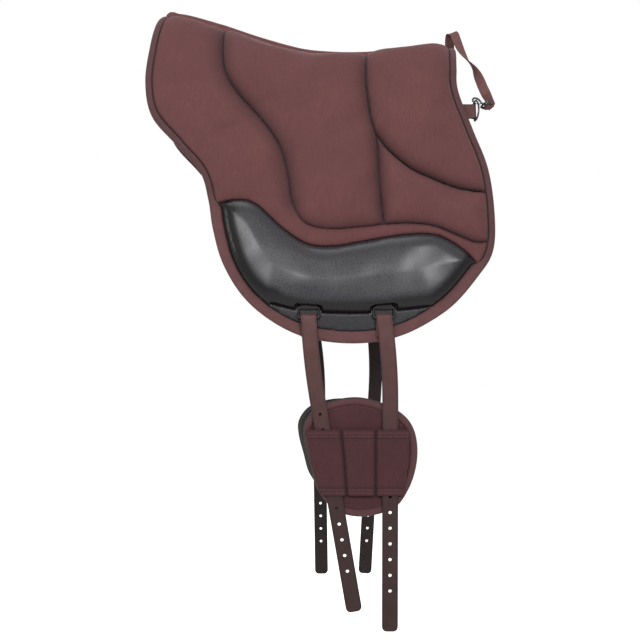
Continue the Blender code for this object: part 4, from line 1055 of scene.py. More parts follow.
def stitches(bm, line, outs, pitch, length, thick):
    """Sew one row along a line of places, with small beads of thread that lie along it."""
    spots = np.array([tuple(p) for p in line])
    steps = np.linalg.norm(np.diff(spots, axis=0), axis=1)
    runs = np.concatenate([[0], np.cumsum(steps)])
    outs = np.array([tuple(o) for o in outs])
    few, sewn = bmesh.new(), bpy.data.meshes.new("stitches")
    for count, run in enumerate(np.arange(pitch / 2, runs[-1], pitch)):
        here, ahead = (
            Vector([np.interp(run + shift, runs, spots[:, axis]) for axis in range(3)])
            for shift in (0, length / 2)
        )
        out = Vector([np.interp(run, runs, outs[:, axis]) for axis in range(3)]).normalized()
        way = (ahead - here).normalized() if (ahead - here).length > 1e-6 else ALONG
        side = way.cross(out).normalized()
        axes = side * thick / 2, side.cross(way) * thick / 2, way * length / 2
        place = Matrix(axes).transposed().to_4x4()
        place.translation = here
        bmesh.ops.create_uvsphere(few, u_segments=6, v_segments=4, radius=1.0, matrix=place)
        if (count + 1) % STITCHES_AT_ONCE == 0:
            few.to_mesh(sewn)
            bm.from_mesh(sewn)
            few.clear()
    few.to_mesh(sewn)
    bm.from_mesh(sewn)
    few.free()
    bpy.data.meshes.remove(sewn)


def flat_row(bm, line, side, height, **kind):
    """A row of stitches along a flat line on the pad."""
    spots = np.array([(point.x, point.y * side, 0.0) for point in line])
    under = drape(spots)
    spots[:, 2] = height
    top = drape(spots)
    stitches(bm, top, top - under, **kind)


# The pad's layers


def make_lining():
    edge = both(EDGE, BINDING_TAPE + GAP)
    bm = cut_panel(edge, LINING_CELL)
    kept, _ = note_flat(bm, edge, 1)
    hang(bm.verts, kept, np.full(len(bm.verts), LINING))
    back_panel(bm, kept, 0.0)
    area = abs(sum(a.cross(b) for a, b in zip(edge, [*edge[1:], edge[0]]))) / 2
    item = settle(bm, "pad_lining", LINING_CLOTH, ["lining"], slot="lining")


def between_ends(line, along):
    """Where the straight line between a line's two ends stands at this along."""
    return np.interp(along, [line[0].x, line[-1].x], [line[0].y, line[-1].y])


def make_bodies(patch_top, seat_foot):
    """The foam-filled body of each flap: painted dark as shade in most seams, and brown round the
    patch.
    """
    outline = half(EDGE, BINDING_TAPE + GAP, GAP / 2)

    # Painted shade where the body shows between the pieces, lighter at the seat's foot
    def shade_at(along, drop, depth):
        if depth < PATCH_MARGIN + GAP and drop > between_ends(patch_top, along) - BINDING_TAPE:
            return 0.0
        return 0.3 if gap_to(seat_foot, [(along, drop)])[0] < 0.010 else 1.0

    for label, side in SIDES.items():
        nodes = [f"foam_core_{label}", f"cover_{label}"]
        low = LINING + GAP
        layer = outline, side, low, STACK - low, SUEDE, nodes
        item = laid(f"pad_body_{label}", *layer, cell=BODY_CELL, shade_at=shade_at, fine=0)


def border_share(point, patch_top):
    """How far the binding has widened here: not beside the cushions, and fully beside the patch."""
    start = between_ends(patch_top, point.x)
    return min(1.0, max(0.0, (abs(point.y) - start) / BINDING_WIDTH + 0.5))


def make_binding(patch_top):
    """Tape folded round the edge, a little full, with its two rows of stitches."""
    top, bottom = STACK + GAP + BINDING_TAPE, -GAP - BINDING_TAPE
    middle, deep = (top + bottom) / 2, (top - bottom) / 2
    profile = [(BINDING_WIDTH, STACK + GAP), (BINDING_WIDTH - 0.0006, top)]
    profile += [(BINDING_FREE, top + 0.0005)]
    profile += [(0.0045, top + 0.0004), (0.0022, top - 0.0008)]
    for degrees in (60, 35, 12, -12, -35, -60):
        c, s = around(degrees)
        profile.append((0.0012 - 0.0012 * c, middle + deep * 0.86 * s))
    profile += [(0.0022, bottom + 0.0008), (0.0045, bottom), (BINDING_WIDTH - 0.0006, bottom)]
    profile += [(BINDING_WIDTH, -GAP), (0.003, -GAP), (0.0012, middle), (0.003, STACK + GAP)]

    def ring_at(inset):
        wide = both(EDGE, inset * BORDER_WIDTH / BINDING_WIDTH)
        return [a.lerp(b, border_share(a, patch_top)) for a, b in zip(both(EDGE, inset), wide)]

    rings = [ring_at(inset) if inset > BINDING_FREE else both(EDGE, inset) for inset, _ in profile]
    sections = []
    for index in range(len(rings[0])):
        spots = []
        for ring, (inset, level) in zip(rings, profile):
            point = ring[index]
            pucker = noise.noise(Vector((point.x * 90, point.y * 90, 2.0))) * BINDING_PUCKER
            spots.append((point.x, point.y, level + (pucker if level > top - 0.001 else 0.0)))
        sections.append([Vector(place) for place in drape(spots)])
    steps = [math.dist(a, b) for a, b in zip(profile, profile[1:])]
    bm = loft(sections, list(np.concatenate([[0], np.cumsum(steps)])), closed=True)
    # Painted shade on the binding above the patch
    shade = bm.verts.layers.float.new("shade")
    ends = [draped(end.x, end.y, STACK).xz for end in (patch_top[0], patch_top[-1])]
    for vert in bm.verts:
        over = vert.co.z - between_ends(ends, vert.co.x)
        vert[shade] = TOP_BINDING_SHADE * min(1.0, max(0.0, over / 0.030 + 0.5))
    settle(bm, "edge_binding_tape", BINDING, ["edge_binding"], slot="binding")
    bm = bmesh.new()
    line = ring_at(BINDING_WIDTH - EDGE_ROW_INSET)
    line.append(line[0])
    flat_row(bm, line, 1, top + THREAD_LIFT, **EDGE_ROW)
    flat_row(bm, line, 1, bottom, **EDGE_ROW)
    settle(bm, "binding_stitches", THREAD, [], slot="binding")


def make_spine_strip():
    """The strip that covers the seam along the spine, sewn down on both sides."""
    wide = SPINE_STRIP_WIDTH / 2
    ends = (EDGE[0].x + BINDING_TAPE, shifted(EDGE, -(BINDING_WIDTH + GAP))[-1].x)
    corners = [(ends[0], -wide), (ends[1], -wide), (ends[1], wide), (ends[0], wide)]
    corners = [Vector(corner) for corner in corners]
    bm = cut_panel(corners, CELL)
    kept, deep = note_flat(bm, corners, 1)
    depths = np.array([vert[deep] for vert in bm.verts])
    shares, heights = zip(*STRIP_CROWNS)

    def rise(alongs):
        return np.interp(np.asarray(alongs) / PAD_LENGTH, shares, heights)

    alongs = np.array([vert[kept].x for vert in bm.verts])
    over = np.where(alongs < ends[0] + BINDING_WIDTH + CELL, ON_COVER + BINDING_TAPE * 2, ON_COVER)
    hang(bm.verts, kept, over + SPINE_STRIP + crown(depths, rise(alongs), STRIP_ROLL))
    back_panel(bm, kept, over)
    settle(bm, "spine_seam_strip", STRIP_TAPE, ["spine_strip"], fine=1)
    bm = bmesh.new()
    xs = np.linspace(ends[0] + 0.002, ends[1] - 0.002, 60)
    row = [Vector((x, wide - STRIP_ROW_INSET)) for x in xs]
    level = ON_COVER + SPINE_STRIP + crown(STRIP_ROW_INSET, rise(xs), STRIP_ROLL)
    for side in SIDES.values():
        flat_row(bm, row, side, level, **EDGE_ROW)
    settle(bm, "spine_strip_stitches", THREAD, [], slot="binding")


def make_cushions(panels, seams):
    for name, rise in CROWNS.items():
        outline = seamed(panels[name], GAP)
        shades = [(seams[seam], strength, reach) for seam, strength, reach in SEAM_SHADES[name]]
        for label, side in SIDES.items():
            title = f"{name}_panel_{label}" if name == "front" else f"{name}_cushion_{label}"
            nodes = [title] if name == "front" else [title, f"{name}_foam_{label}"]
            form = outline, side, (rise, PILLOWS[name]), SUEDE, nodes
            quilted(title + "_padded", *form, fill=FILLS[name], shades=shades)


def mouth(middle, way):
    """The corners of a loop's mouth in the patch's foot, for an outline that runs this way."""
    corners = [(middle - way * HALF_MOUTH, up) for up in (PATCH_FOOT, PATCH_FOOT - MOUTH_DEPTH)]
    corners += [(middle + way * HALF_MOUTH, up) for up in (PATCH_FOOT - MOUTH_DEPTH, PATCH_FOOT)]
    return [Vector(corner) for corner in corners]


def patch_outline(patch_top, mouths):
    """The patch: its top seam, the pad's edge drawn in, and a straight foot with its mouths."""
    line = shifted(EDGE, -PATCH_MARGIN)
    left, right = (Vector((share * PAD_LENGTH, PATCH_FOOT)) for share in FOOT_WIDTH_SHARES)
    start, end = patch_top[0], patch_top[-1]
    outline = [start, *run_of(line, start, left)[1:-1], left]
    for middle in mouths:
        outline += mouth(middle, 1)
    outline += [right, *run_of(line, right, end)[1:-1], end]
    return outline + patch_top[::-1][1:-1]


def make_patch(patch_top):
    """The padded patch with mouths for the loops, the flat strip under its foot, and the strip's
    stitches.
    """
    middles = (FRONT_LOOP_X, REAR_LOOP_X)
    outline = seamed(patch_outline(patch_top, middles))
    rim = seamed(patch_outline(patch_top, ()))
    foot_front = Vector((FOOT_WIDTH_SHARES[0] * PAD_LENGTH, PATCH_FOOT))
    round_foot, round_front = run_of(rim, rim[0], patch_top[-1]), run_of(rim, rim[0], foot_front)
    line = shifted(EDGE, -(BORDER_WIDTH + GAP))
    first, last = (pick(point.x for point in line if point.y > PATCH_FOOT) for pick in (min, max))
    lower = [point for point in line if point.y > PATCH_FOOT + 0.002]
    strip = [crossing(line, PATCH_FOOT, first), *lower, crossing(line, PATCH_FOOT, last)]
    stops = [first + 0.008]
    for middle in middles:
        stops += [middle - HALF_MOUTH, middle + HALF_MOUTH]
    stops.append(last - 0.008)
    for middle in middles[::-1]:
        strip += mouth(middle, -1)
    # Painted shade along the patch's rolled foot and sides, and wider along its front
    shades = [(round_foot, 1.0, PATCH_ROLL_SHADE_REACH), (round_front, 1.0, PATCH_FRONT_ROLL_SHADE_REACH)]
    for label, side in SIDES.items():
        nodes = [f"knee_patch_{label}", f"patch_foam_{label}"]
        form = outline, side, (PATCH_CROWN, PATCH_PILLOW), PATCH, nodes
        name = f"knee_patch_{label}_padded"
        quilted(name, *form, fill=0.8, shades=shades, slot="black patch", rim=rim)
        layer = strip, side, ON_COVER, COVER, PATCH_FOOT_GRIP, [f"patch_strip_{label}"]
        laid(f"patch_foot_strip_{label}", *layer, slot="black patch", cell=STRIP_CELL)
        bm = bmesh.new()
        for start, end in zip(stops[::2], stops[1::2]):
            xs = np.linspace(start + 0.002, end - 0.002, 20)
            row = [Vector((x, PATCH_FOOT + FOOT_ROW_INSET)) for x in xs]
            flat_row(bm, row, side, ON_COVER + COVER + THREAD_LIFT, **FOOT_ROW)
        settle(bm, f"patch_foot_stitches_{label}", GREY_THREAD, [], slot="black patch")


def make_loop(label, along, side):
    """A steel loop, and the folded webbing tab that holds it under the patch's foot."""
    bar = Vector((along, -side * BAR_ACROSS, BAR_UP))
    tab_drop = drop_at(along, BAR_UP + LOOP_LENGTH - LOOP_WIRE, STACK)
    tab = draped(along, side * tab_drop, STACK + GAP + TAB_WEBBING + BAR_CLEARANCE + LOOP_WIRE / 2)
    wide = Vector((BILLET_WIDTH / 2 + LOOP_SIDE_CLEARANCE + LOOP_WIRE / 2, 0, 0))
    corners = [bar + wide, tab + wide, tab - wide, bar - wide]
    bm = tube(rounded_line(corners, LOOP_CORNER), LOOP_WIRE / 2, closed=True)
    settle(bm, f"billet_ring_{label}", BLACK_STEEL, [f"billet_loop_{label}"], slot="metal")
    reach = LOOP_WIRE / 2 + BAR_CLEARANCE + TAB_WEBBING / 2
    foot = draped(along, side * PATCH_FOOT, 0)
    out = (draped(along, side * PATCH_FOOT, STACK) - foot).normalized()
    down = (draped(along, side * (PATCH_FOOT + 0.002), 0) - foot).normalized()
    path = [(tab - down * back - out * reach, ALONG, out) for back in (TAB_LENGTH, reach * 2)]
    for degrees in range(-90, 91, 15):
        c, s = around(degrees)
        way = down * c + out * s
        path.append((tab + way * reach, ALONG, -way))
    above = reach - TAB_WEBBING - GAP * 2
    for back in (0.5, 1.0):
        path.append((tab - down * TAB_LENGTH * back - out * above, ALONG, -out))
    bm = strap(path, BILLET_WIDTH, TAB_WEBBING, WEBBING_CORNER)
    settle(bm, f"billet_tab_{label}", BLACK_WEBBING, [f"loop_tab_{label}"], slot="webbing")


def billet_run(along, side, start_slope, end_slope):
    """Where the billet's front layer runs: a function of the drop below the bar."""
    front = BAR_ACROSS + LOOP_WIRE / 2 + BAR_CLEARANCE + BILLET_LEATHER / 2

    def at(drop):
        settled = min(drop, BILLET_SETTLE)
        sway = start_slope * settled + (end_slope - start_slope) * settled**2 / (2 * BILLET_SETTLE)
        sway += end_slope * (drop - settled)
        slope = start_slope + (end_slope - start_slope) * settled / BILLET_SETTLE
        place = Vector((along + sway, -side * front, BAR_UP - drop))
        return place, Vector((1, 0, slope)).normalized()

    return at


def make_billet(label):
    """A leather billet folded over its bar and sewn, with punched holes and a rounded tip."""
    along, side, length, start_slope, end_slope = BILLETS[label]
    origin = Vector((along, -side * BAR_ACROSS, BAR_UP))
    at = billet_run(along, side, start_slope, end_slope)
    out = Vector((0, -side, 0))
    reach = LOOP_WIRE / 2 + BAR_CLEARANCE + BILLET_LEATHER / 2
    behind = reach - BILLET_LEATHER - GAP
    path = []
    stands = ((1.0, behind), (0.7, behind), (0.5, behind), (0.22, behind - reach * 0.55))
    for share, stand in stands:
        path.append((origin + out * stand - Vector((0, 0, BILLET_FOLD * share)), ALONG, -out))
    for degrees in range(180, -1, -20):
        c, s = around(degrees)
        way = out * c + Vector((0, 0, s))
        path.append((origin + way * reach, ALONG, way))
    fall = length / math.sqrt(1 + end_slope**2)
    for drop in np.arange(BILLET_STEP, fall - BILLET_TIP, BILLET_STEP):
        place, across_way = at(float(drop))
        path.append((place, across_way, out))
    form = BILLET_LEATHER, BILLET_ROUNDING
    made = [tape_section(place, a, o, BILLET_WIDTH, *form) for place, a, o in path]
    spread = made[0][1]
    sections = [places for places, _ in made]
    for share in (0.0, 0.35, 0.6, 0.8, 0.92, 1.0):
        drop = fall - BILLET_TIP * (1 - share)
        place, across_way = at(drop)
        width = BILLET_WIDTH - BILLET_TIP * (1 - math.sqrt(1 - share**2)) - share**3 * 0.004
        sections.append(tape_section(place, across_way, out, width, *form)[0])
    bm = loft(sections, spread)
    body, paints = ("near_billets" if side > 0 else "far_billets"), [LEATHER, FLESH_SIDE_AND_SHADE]
    title = f"billet_{label}"
    kind = {"body": body, "slot": "billet leather", "sharp": BILLET_CORNER}
    item = settle(bm, title + "_leather", paints, [title], **kind)
    holes = bmesh.new()
    turn = Matrix.Rotation(math.radians(90), 4, "X")
    for index in range(HOLE_COUNT):
        place, _ = at(fall - LAST_HOLE - index * HOLE_PITCH)
        size = {"radius1": HOLE_DIAMETER / 2, "radius2": HOLE_DIAMETER / 2}
        at_hole = Matrix.Translation(place) @ turn
        size["depth"] = BILLET_LEATHER * 3
        bmesh.ops.create_cone(holes, cap_ends=True, segments=20, matrix=at_hole, **size)
    tool = placed("punch", mesh_of(holes, "punch"))
    item.modifiers.new("holes", "BOOLEAN").object = tool
    cut = item.evaluated_get(bpy.context.evaluated_depsgraph_get())
    punched = bpy.data.meshes.new_from_object(cut)
    item.modifiers.clear()
    item.data = punched
    bpy.data.objects.remove(tool)
    punched.set_sharp_from_angle(angle=math.radians(BILLET_CORNER))
    # Faces turned in towards the horse take the flesh side, with its painted shade
    for face in punched.polygons:
        face.material_index = int(face.normal.dot(out) < -0.2)
    return item


def guard_outline(distance):
    points = [(u * GUARD_WIDTH, w * GUARD_HEIGHT) for u, w in GUARD_SHARES]
    return seamed(smooth(points, GUARD_STEP, closed=True), distance)


def guard_place(side, centre, up):
    """How a guard's place (along, up, outward from the billets' inner face) is taken to the world."""
    plane = BAR_ACROSS + LOOP_WIRE / 2 + BAR_CLEARANCE - GUARD_CLEARANCE

    def place(local):
        return Vector((centre + local[0], -side * (plane + local[2]), up + local[1]))

    return place


def guard_layer(
    name, outline, place, rise, thick, paint, nodes, body, slot="suede", cell=GUARD_CELL, shades=()
):
    """One layer of a guard: rise gives the heights of its front and of its back."""
    bm = cut_panel(outline, cell)
    deep = note_flat(bm, outline, 1, shades)[1]
    heights, unders = rise(bm, np.array([vert[deep] for vert in bm.verts]), thick)
    front, backs = doubled(bm)
    risen = {tuple(round(c, 7) for c in vert.co.xy): high for vert, high in zip(backs, heights)}
    for vert in front:
        vert.co = place((vert.co.x, vert.co.y, risen[tuple(round(c, 7) for c in vert.co.xy)]))
    for vert, under in zip(backs, unders):
        vert.co = place((vert.co.x, vert.co.y, under))
    return settle(bm, name, paint, nodes, body, slot, fine=1)


def crowned(level, height):
    """The heights of a layer that rises from its edge by this much, over a flat back."""

    def rise(bm, depths, thick):
        return level + crown(depths, height, GUARD_ROLL_IN), np.full(len(depths), level - thick)

    return rise


def pocket_edges(height):
    """Where the pocket's side seams and dividing seams are at this height."""
    rows = [share * GUARD_HEIGHT for share in POCKET_ROWS][::-1]
    return [
        float(np.interp(height, rows, [share * GUARD_WIDTH for share in shares[::-1]]))
        for shares in (POCKET_LEFT, POCKET_FIRST, POCKET_SECOND, POCKET_RIGHT)
    ]


def pocket_height(x, y):
    """How far the pocket stands out: flat over the billets, and sewn down at its seams."""
    left, first, second, right = pocket_edges(y)
    high = GUARD_CLEARANCE * 2 + BILLET_LEATHER + 0.0002
    low_rim, low_seam = GAP, GAP - RIM_STEP
    side = min(x - left, right - x)
    rise = low_rim + (high - low_rim) * min(1.0, max(0.0, side / POCKET_RISE)) ** 0.6
    seam = min(abs(x - first), abs(x - second)) - 0.0010
    sewn = low_seam + (high - low_seam) * min(1.0, max(0.0, seam / POCKET_RISE)) ** 0.6
    return min(rise, sewn)


def make_pocket(label, place, body):
    """The pocket panel, with its hems and the stitches along its seams."""
    rows = [share * GUARD_HEIGHT for share in POCKET_ROWS]
    left, right = (
        [Vector((share * GUARD_WIDTH, row)) for share, row in zip(shares, rows)]
        for shares in (POCKET_LEFT, POCKET_RIGHT)
    )
    outline = []
    for line in (right, [right[-1], left[-1]], left[::-1], [left[0], right[0]]):
        for a, b in zip(line, line[1:]):
            count = max(1, round((b - a).length / 0.004))
            outline += [a.lerp(b, index / count) for index in range(count)]

    def rise(bm, depths, thick):
        heights = []
        for vert in bm.verts:
            x, y = vert.co.xy
            hem = HEM_RISE if rows[0] - y < TOP_HEM or y - rows[-1] < FOOT_HEM else 0.0
            heights.append(pocket_height(x, y) + thick + hem)
        return heights, [height - thick for height in heights]

    # Painted shade along the pocket's dividing seams and beside its hems
    shades = []
    for seam in (1, 2):
        line = [(pocket_edges(y)[seam], y) for y in (rows[0], 0.0, rows[-1])]
        shades.append((line, 0.9, 0.0045))
    for y in (rows[0] - TOP_HEM - 0.001, rows[-1] + FOOT_HEM + 0.001):
        shades.append(([(pocket_edges(y)[0], y), (pocket_edges(y)[-1], y)], 0.55, 0.0030))
    layer = outline, place, rise, POCKET_PANEL, GUARD_SUEDE, [f"guard_pocket_{label}"], body
    guard_layer(f"guard_pocket_panel_{label}", *layer, cell=POCKET_CELL, shades=shades)
    bm = bmesh.new()
    out = place((0, 0, 1)) - place((0, 0, 0))
    for y in (rows[0] - 0.0050, rows[0] - 0.0105, rows[-1] + 0.0095, rows[-1] + 0.0045):
        edges = pocket_edges(y)
        for start, end in zip(edges, edges[1:]):
            xs = np.linspace(start + 0.0042, end - 0.0042, 12)
            line = [place((x, y, pocket_height(x, y) + POCKET_PANEL + 0.0008)) for x in xs]
            stitches(bm, line, [out] * len(line), **HEM_ROW)
    ys = np.linspace(rows[0] - 0.003, rows[-1] + 0.003, 24)
    low = GAP - RIM_STEP + POCKET_PANEL
    for seam in (1, 2):
        for shift in (-0.0006, 0.0006):
            line = [place((pocket_edges(y)[seam] + shift, y, low)) for y in ys]
            stitches(bm, line, [out] * len(line), **CHANNEL_ROW)
    settle(bm, f"guard_pocket_stitches_{label}", THREAD, [], body, "suede")


def make_guard(label, side, centre, up):
    """A padded guard: a rolled rim, a sunk cover, a mesh lining and a pocket of three channels."""
    place = guard_place(side, centre, up)
    body = f"{label}_guard"
    deep = GUARD_RIM_DEPTH
    profile, spread = [], []
    for degrees in range(0, 360, 24):
        c, s = (math.copysign(abs(v) ** 0.75, v) for v in around(degrees))
        profile.append((GUARD_RIM_WIDTH / 2 * (1 - c), -deep / 2 + deep / 2 * s))
        spread.append(0.006 * math.radians(min(degrees, 360 - degrees)))
    rings = [guard_outline(inset) for inset, _ in profile]
    sections = []
    for points in zip(*rings):
        sections.append([place((*point, level)) for point, (_, level) in zip(points, profile)])
    bm = loft(sections, spread, closed=True)
    middles = [face.calc_center_median() for face in bm.faces]
    spots = [(spot.x - centre, spot.z - up) for spot in middles]
    rims = gap_to(guard_outline(0), spots, closed=True)
    for face, spot, rim in zip(bm.faces, middles, rims):
        edge = place((0, 0, -deep * (0.08 if rim < GUARD_RIM_WIDTH / 2 else 0.6))).y
        face.material_index = int((spot.y - edge) * side > 0)
    item = settle(bm, f"guard_roll_{label}", [GUARD_ROLL, GUARD_MESH], [f"guard_rim_{label}"], body)
    inner = guard_outline(GUARD_RIM_WIDTH - 0.0030)
    nodes = [f"guard_cover_{label}", f"guard_foam_{label}"]
    layer = crowned(-RIM_STEP - 0.001, 0.0014), 0.0035, GUARD_SUEDE, nodes, body
    item = guard_layer(f"guard_cover_{label}_padded", inner, place, *layer)
    layer = crowned(-RIM_STEP - 0.0048, 0.0), 0.0068, GUARD_MESH, [f"guard_mesh_{label}"], body
    guard_layer(f"guard_lining_{label}", inner, place, *layer, slot="mesh lining")
    bm = bmesh.new()
    out = place((0, 0, 1)) - place((0, 0, 0))
    line = guard_outline(GUARD_RIM_WIDTH + RIM_ROW_INSET)
    line.append(line[0])
    beside = [p for p in line if not -0.31 < p.y / GUARD_HEIGHT < 0.24]
    row = [place((*p, -RIM_STEP - RIM_ROW_SINK)) for p in beside]
    runs, run = [], [row[0]]
    for a, b in zip(row, row[1:]):
        if (b - a).length > 0.02:
            runs.append(run)
            run = []
        run.append(b)
    for run in [*runs, run]:
        if len(run) > 2:
            stitches(bm, run, [out] * len(run), **RIM_ROW)
    settle(bm, f"guard_rim_stitches_{label}", THREAD, [], body, "suede")
    make_pocket(label, place, body)


# The rear rings, snap and tail strap


def rear_frame(side):
    """The ring tab's place on the edge, the ways down the flap and out, and the edge's own lean."""
    high, back, low = (
        crossing(EDGE, D_TAB_DROP + end * D_TAB_HEIGHT / 2, PAD_LENGTH).x for end in (-1, 0, 1)
    )
    middle = STACK / 2
    start = draped(back, D_TAB_DROP, middle)
    down = (draped(back, D_TAB_DROP + 0.002, middle) - start).normalized()
    out = (draped(back, D_TAB_DROP, STACK) - draped(back, D_TAB_DROP, 0)).normalized()
    flip = Vector((1, side, 1))
    return start * flip, down * flip, out * flip, low - high


def make_rear_ring(label, side, turn_degrees):
    """The webbing tab sewn into the rear edge, and the D-ring that it holds."""
    start, down, out, lean = rear_frame(side)
    back = ALONG
    bar = start + back * TAB_REACH
    reach = D_WIRE / 2 + BAR_CLEARANCE + D_TAB_WEBBING / 2
    layer = D_TAB_WEBBING / 2 + GAP / 2
    path = []
    ends = [(GAP * 2, layer, lean), (TAB_REACH - reach * 2, layer, 0.0)]
    ends.append((TAB_REACH - reach / 2, reach, 0.0))
    for x, y, slant in ends:
        path.append((start + back * x + out * y, down * D_TAB_HEIGHT + back * slant, out))
    for degrees in range(75, -76, -15):
        c, s = around(degrees)
        way = back * c + out * s
        path.append((bar + way * reach, down * D_TAB_HEIGHT, way))
    for x, y, slant in ends[::-1]:
        path.append((start + back * x - out * y, down * D_TAB_HEIGHT + back * slant, -out))
    form = D_TAB_WEBBING, WEBBING_CORNER
    made = [tape_section(place, a, o, a.length, *form) for place, a, o in path]
    bm = loft([places for places, _ in made], made[0][1])
    settle(bm, f"ring_tab_{label}_webbing", WEBBING, [f"ring_tab_{label}"], slot="webbing")
    bm = bmesh.new()
    ys = np.linspace(-0.0105, 0.0105, 8)
    for x in (0.0022, 0.0058):
        for face in (1, -1):
            line = [start + back * x + down * y + out * face * layer * 2 for y in ys]
            stitches(bm, line, [out * face] * len(line), **TAB_ROW)
    settle(bm, f"ring_tab_stitches_{label}", THREAD, [], slot="webbing")
    c, s = around(turn_degrees)
    reach_way = back * c + out * s
    tall = D_HEIGHT / 2 - D_WIRE / 2
    points = [bar - down * tall, bar + down * tall]
    for degrees in range(90, -91, -10):
        c, s = around(degrees)
        points.append(bar + down * tall * s + reach_way * (D_WIRE + (D_DEPTH - D_WIRE * 2) * c))
    first = rounded_line([points[-1], *points[:3]], D_WIRE * 0.95, closed=False)[1:-1]
    bm = tube([*first, *points[2:]], D_WIRE / 2, closed=True)
    settle(bm, f"ring_{label}", METAL, [f"d_ring_{label}"], f"{label}_ring", "metal")
    return bar - down * tall + reach_way * (D_WIRE + 0.002), reach_way


def make_snap(top, leg):
    """A small swivel snap: the hook with its stem, the sprung gate, and the strap's eye."""
    aim = Vector((-1, 0, 0.22))
    long = (aim - leg * aim.dot(leg)).normalized()
    leg = leg.normalized()
    rise = leg.cross(long).normalized()
    shares = [(-1.0, 0.0), (-0.72, -0.55), (-0.40, -1.0), (0.0, -1.0)]
    hook = [(a * SNAP_SHANK, b * SNAP_BIGHT) for a, b in shares]
    for degrees in range(-75, 91, 15):
        c, s = around(degrees)
        hook.append((SNAP_BIGHT * c, SNAP_BIGHT * s))
    nose = -SNAP_BIGHT * 0.45
    hook.append((nose, SNAP_BIGHT))
    hook = [tuple(p) for p in smooth([Vector((*p, 0)) for p in hook], 0.0011)]
    eye_start = SNAP_SHANK + EYE_BASE
    neck = eye_start + EYE_BAR + GAP * 2
    head, collar = -neck - SNAP_HEAD_LENGTH, SNAP_WIRE * 1.35
    lead = [(head, SNAP_HEAD * 0.85), (-neck - SNAP_HEAD_LENGTH * 0.9, SNAP_HEAD)]
    lead += [(-neck - GAP, SNAP_HEAD), (-neck - GAP / 2, SNAP_STEM)]
    lead += [(-eye_start + GAP * 2, SNAP_STEM), (-eye_start + GAP * 4, collar)]
    lead += [(-SNAP_SHANK - GAP * 2, collar)]
    points = [top + long * a for a, _ in lead] + [top + long * p[0] + rise * p[1] for p in hook]
    radii = [d / 2 for _, d in lead] + [SNAP_WIRE / 2] * (len(hook) - 1) + [SNAP_WIRE * 0.42]
    bm = tube(points, radii)
    settle(bm, "snap_hook_body", METAL, ["snap_hook"], "snap_body", "metal", sharp=40)
    pivot = (SNAP_SHANK * -0.85, SNAP_BIGHT * 0.40)
    tip = (nose - SNAP_WIRE * 0.4, SNAP_BIGHT)
    a, b = (top + long * p[0] + rise * p[1] for p in (pivot, tip))
    line = [a.lerp(b, t) for t in (0, 0.06, 0.3, 0.6, 0.94, 1.0)]
    gate_radii = [GATE_WIRE * f / 2 for f in (0.7, 1.0, 1.0, 1.0, 1.0, 0.7)]
    settle(tube(line, gate_radii), "snap_gate_lever", METAL, ["snap_gate"], "snap_lever", "metal")
    start = top - long * eye_start
    length = EYE_BAR * 2 + EYE_WINDOW
    wide = EYE_WIDTH / 2 - EYE_BAR / 2
    near, far = GAP + EYE_BAR / 2, length - EYE_BAR / 2
    corners = [(near, -wide), (near, wide), (far, wide), (far, -wide)]
    corners = [start - long * x + leg * y for x, y in corners]
    sections = []
    line = rounded_line(corners, 0.0022)
    for index, point in enumerate(line):
        way = (line[(index + 1) % len(line)] - line[index - 1]).normalized()
        side = way.cross(rise)
        ring = []
        for degrees in range(0, 360, 30):
            c, s = (math.copysign(abs(v) ** 0.6, v) for v in around(degrees))
            ring.append(point + side * c * EYE_BAR / 2 + rise * s * EYE_DEPTH / 2)
        sections.append(ring)
    spread = [0.002 * min(step, 12 - step) / 6 for step in range(12)]
    settle(loft(sections, spread, closed=True), "snap_eye_frame", METAL, ["snap_eye"], slot="metal")
    return start - long * (length - EYE_BAR / 2), long, rise, leg


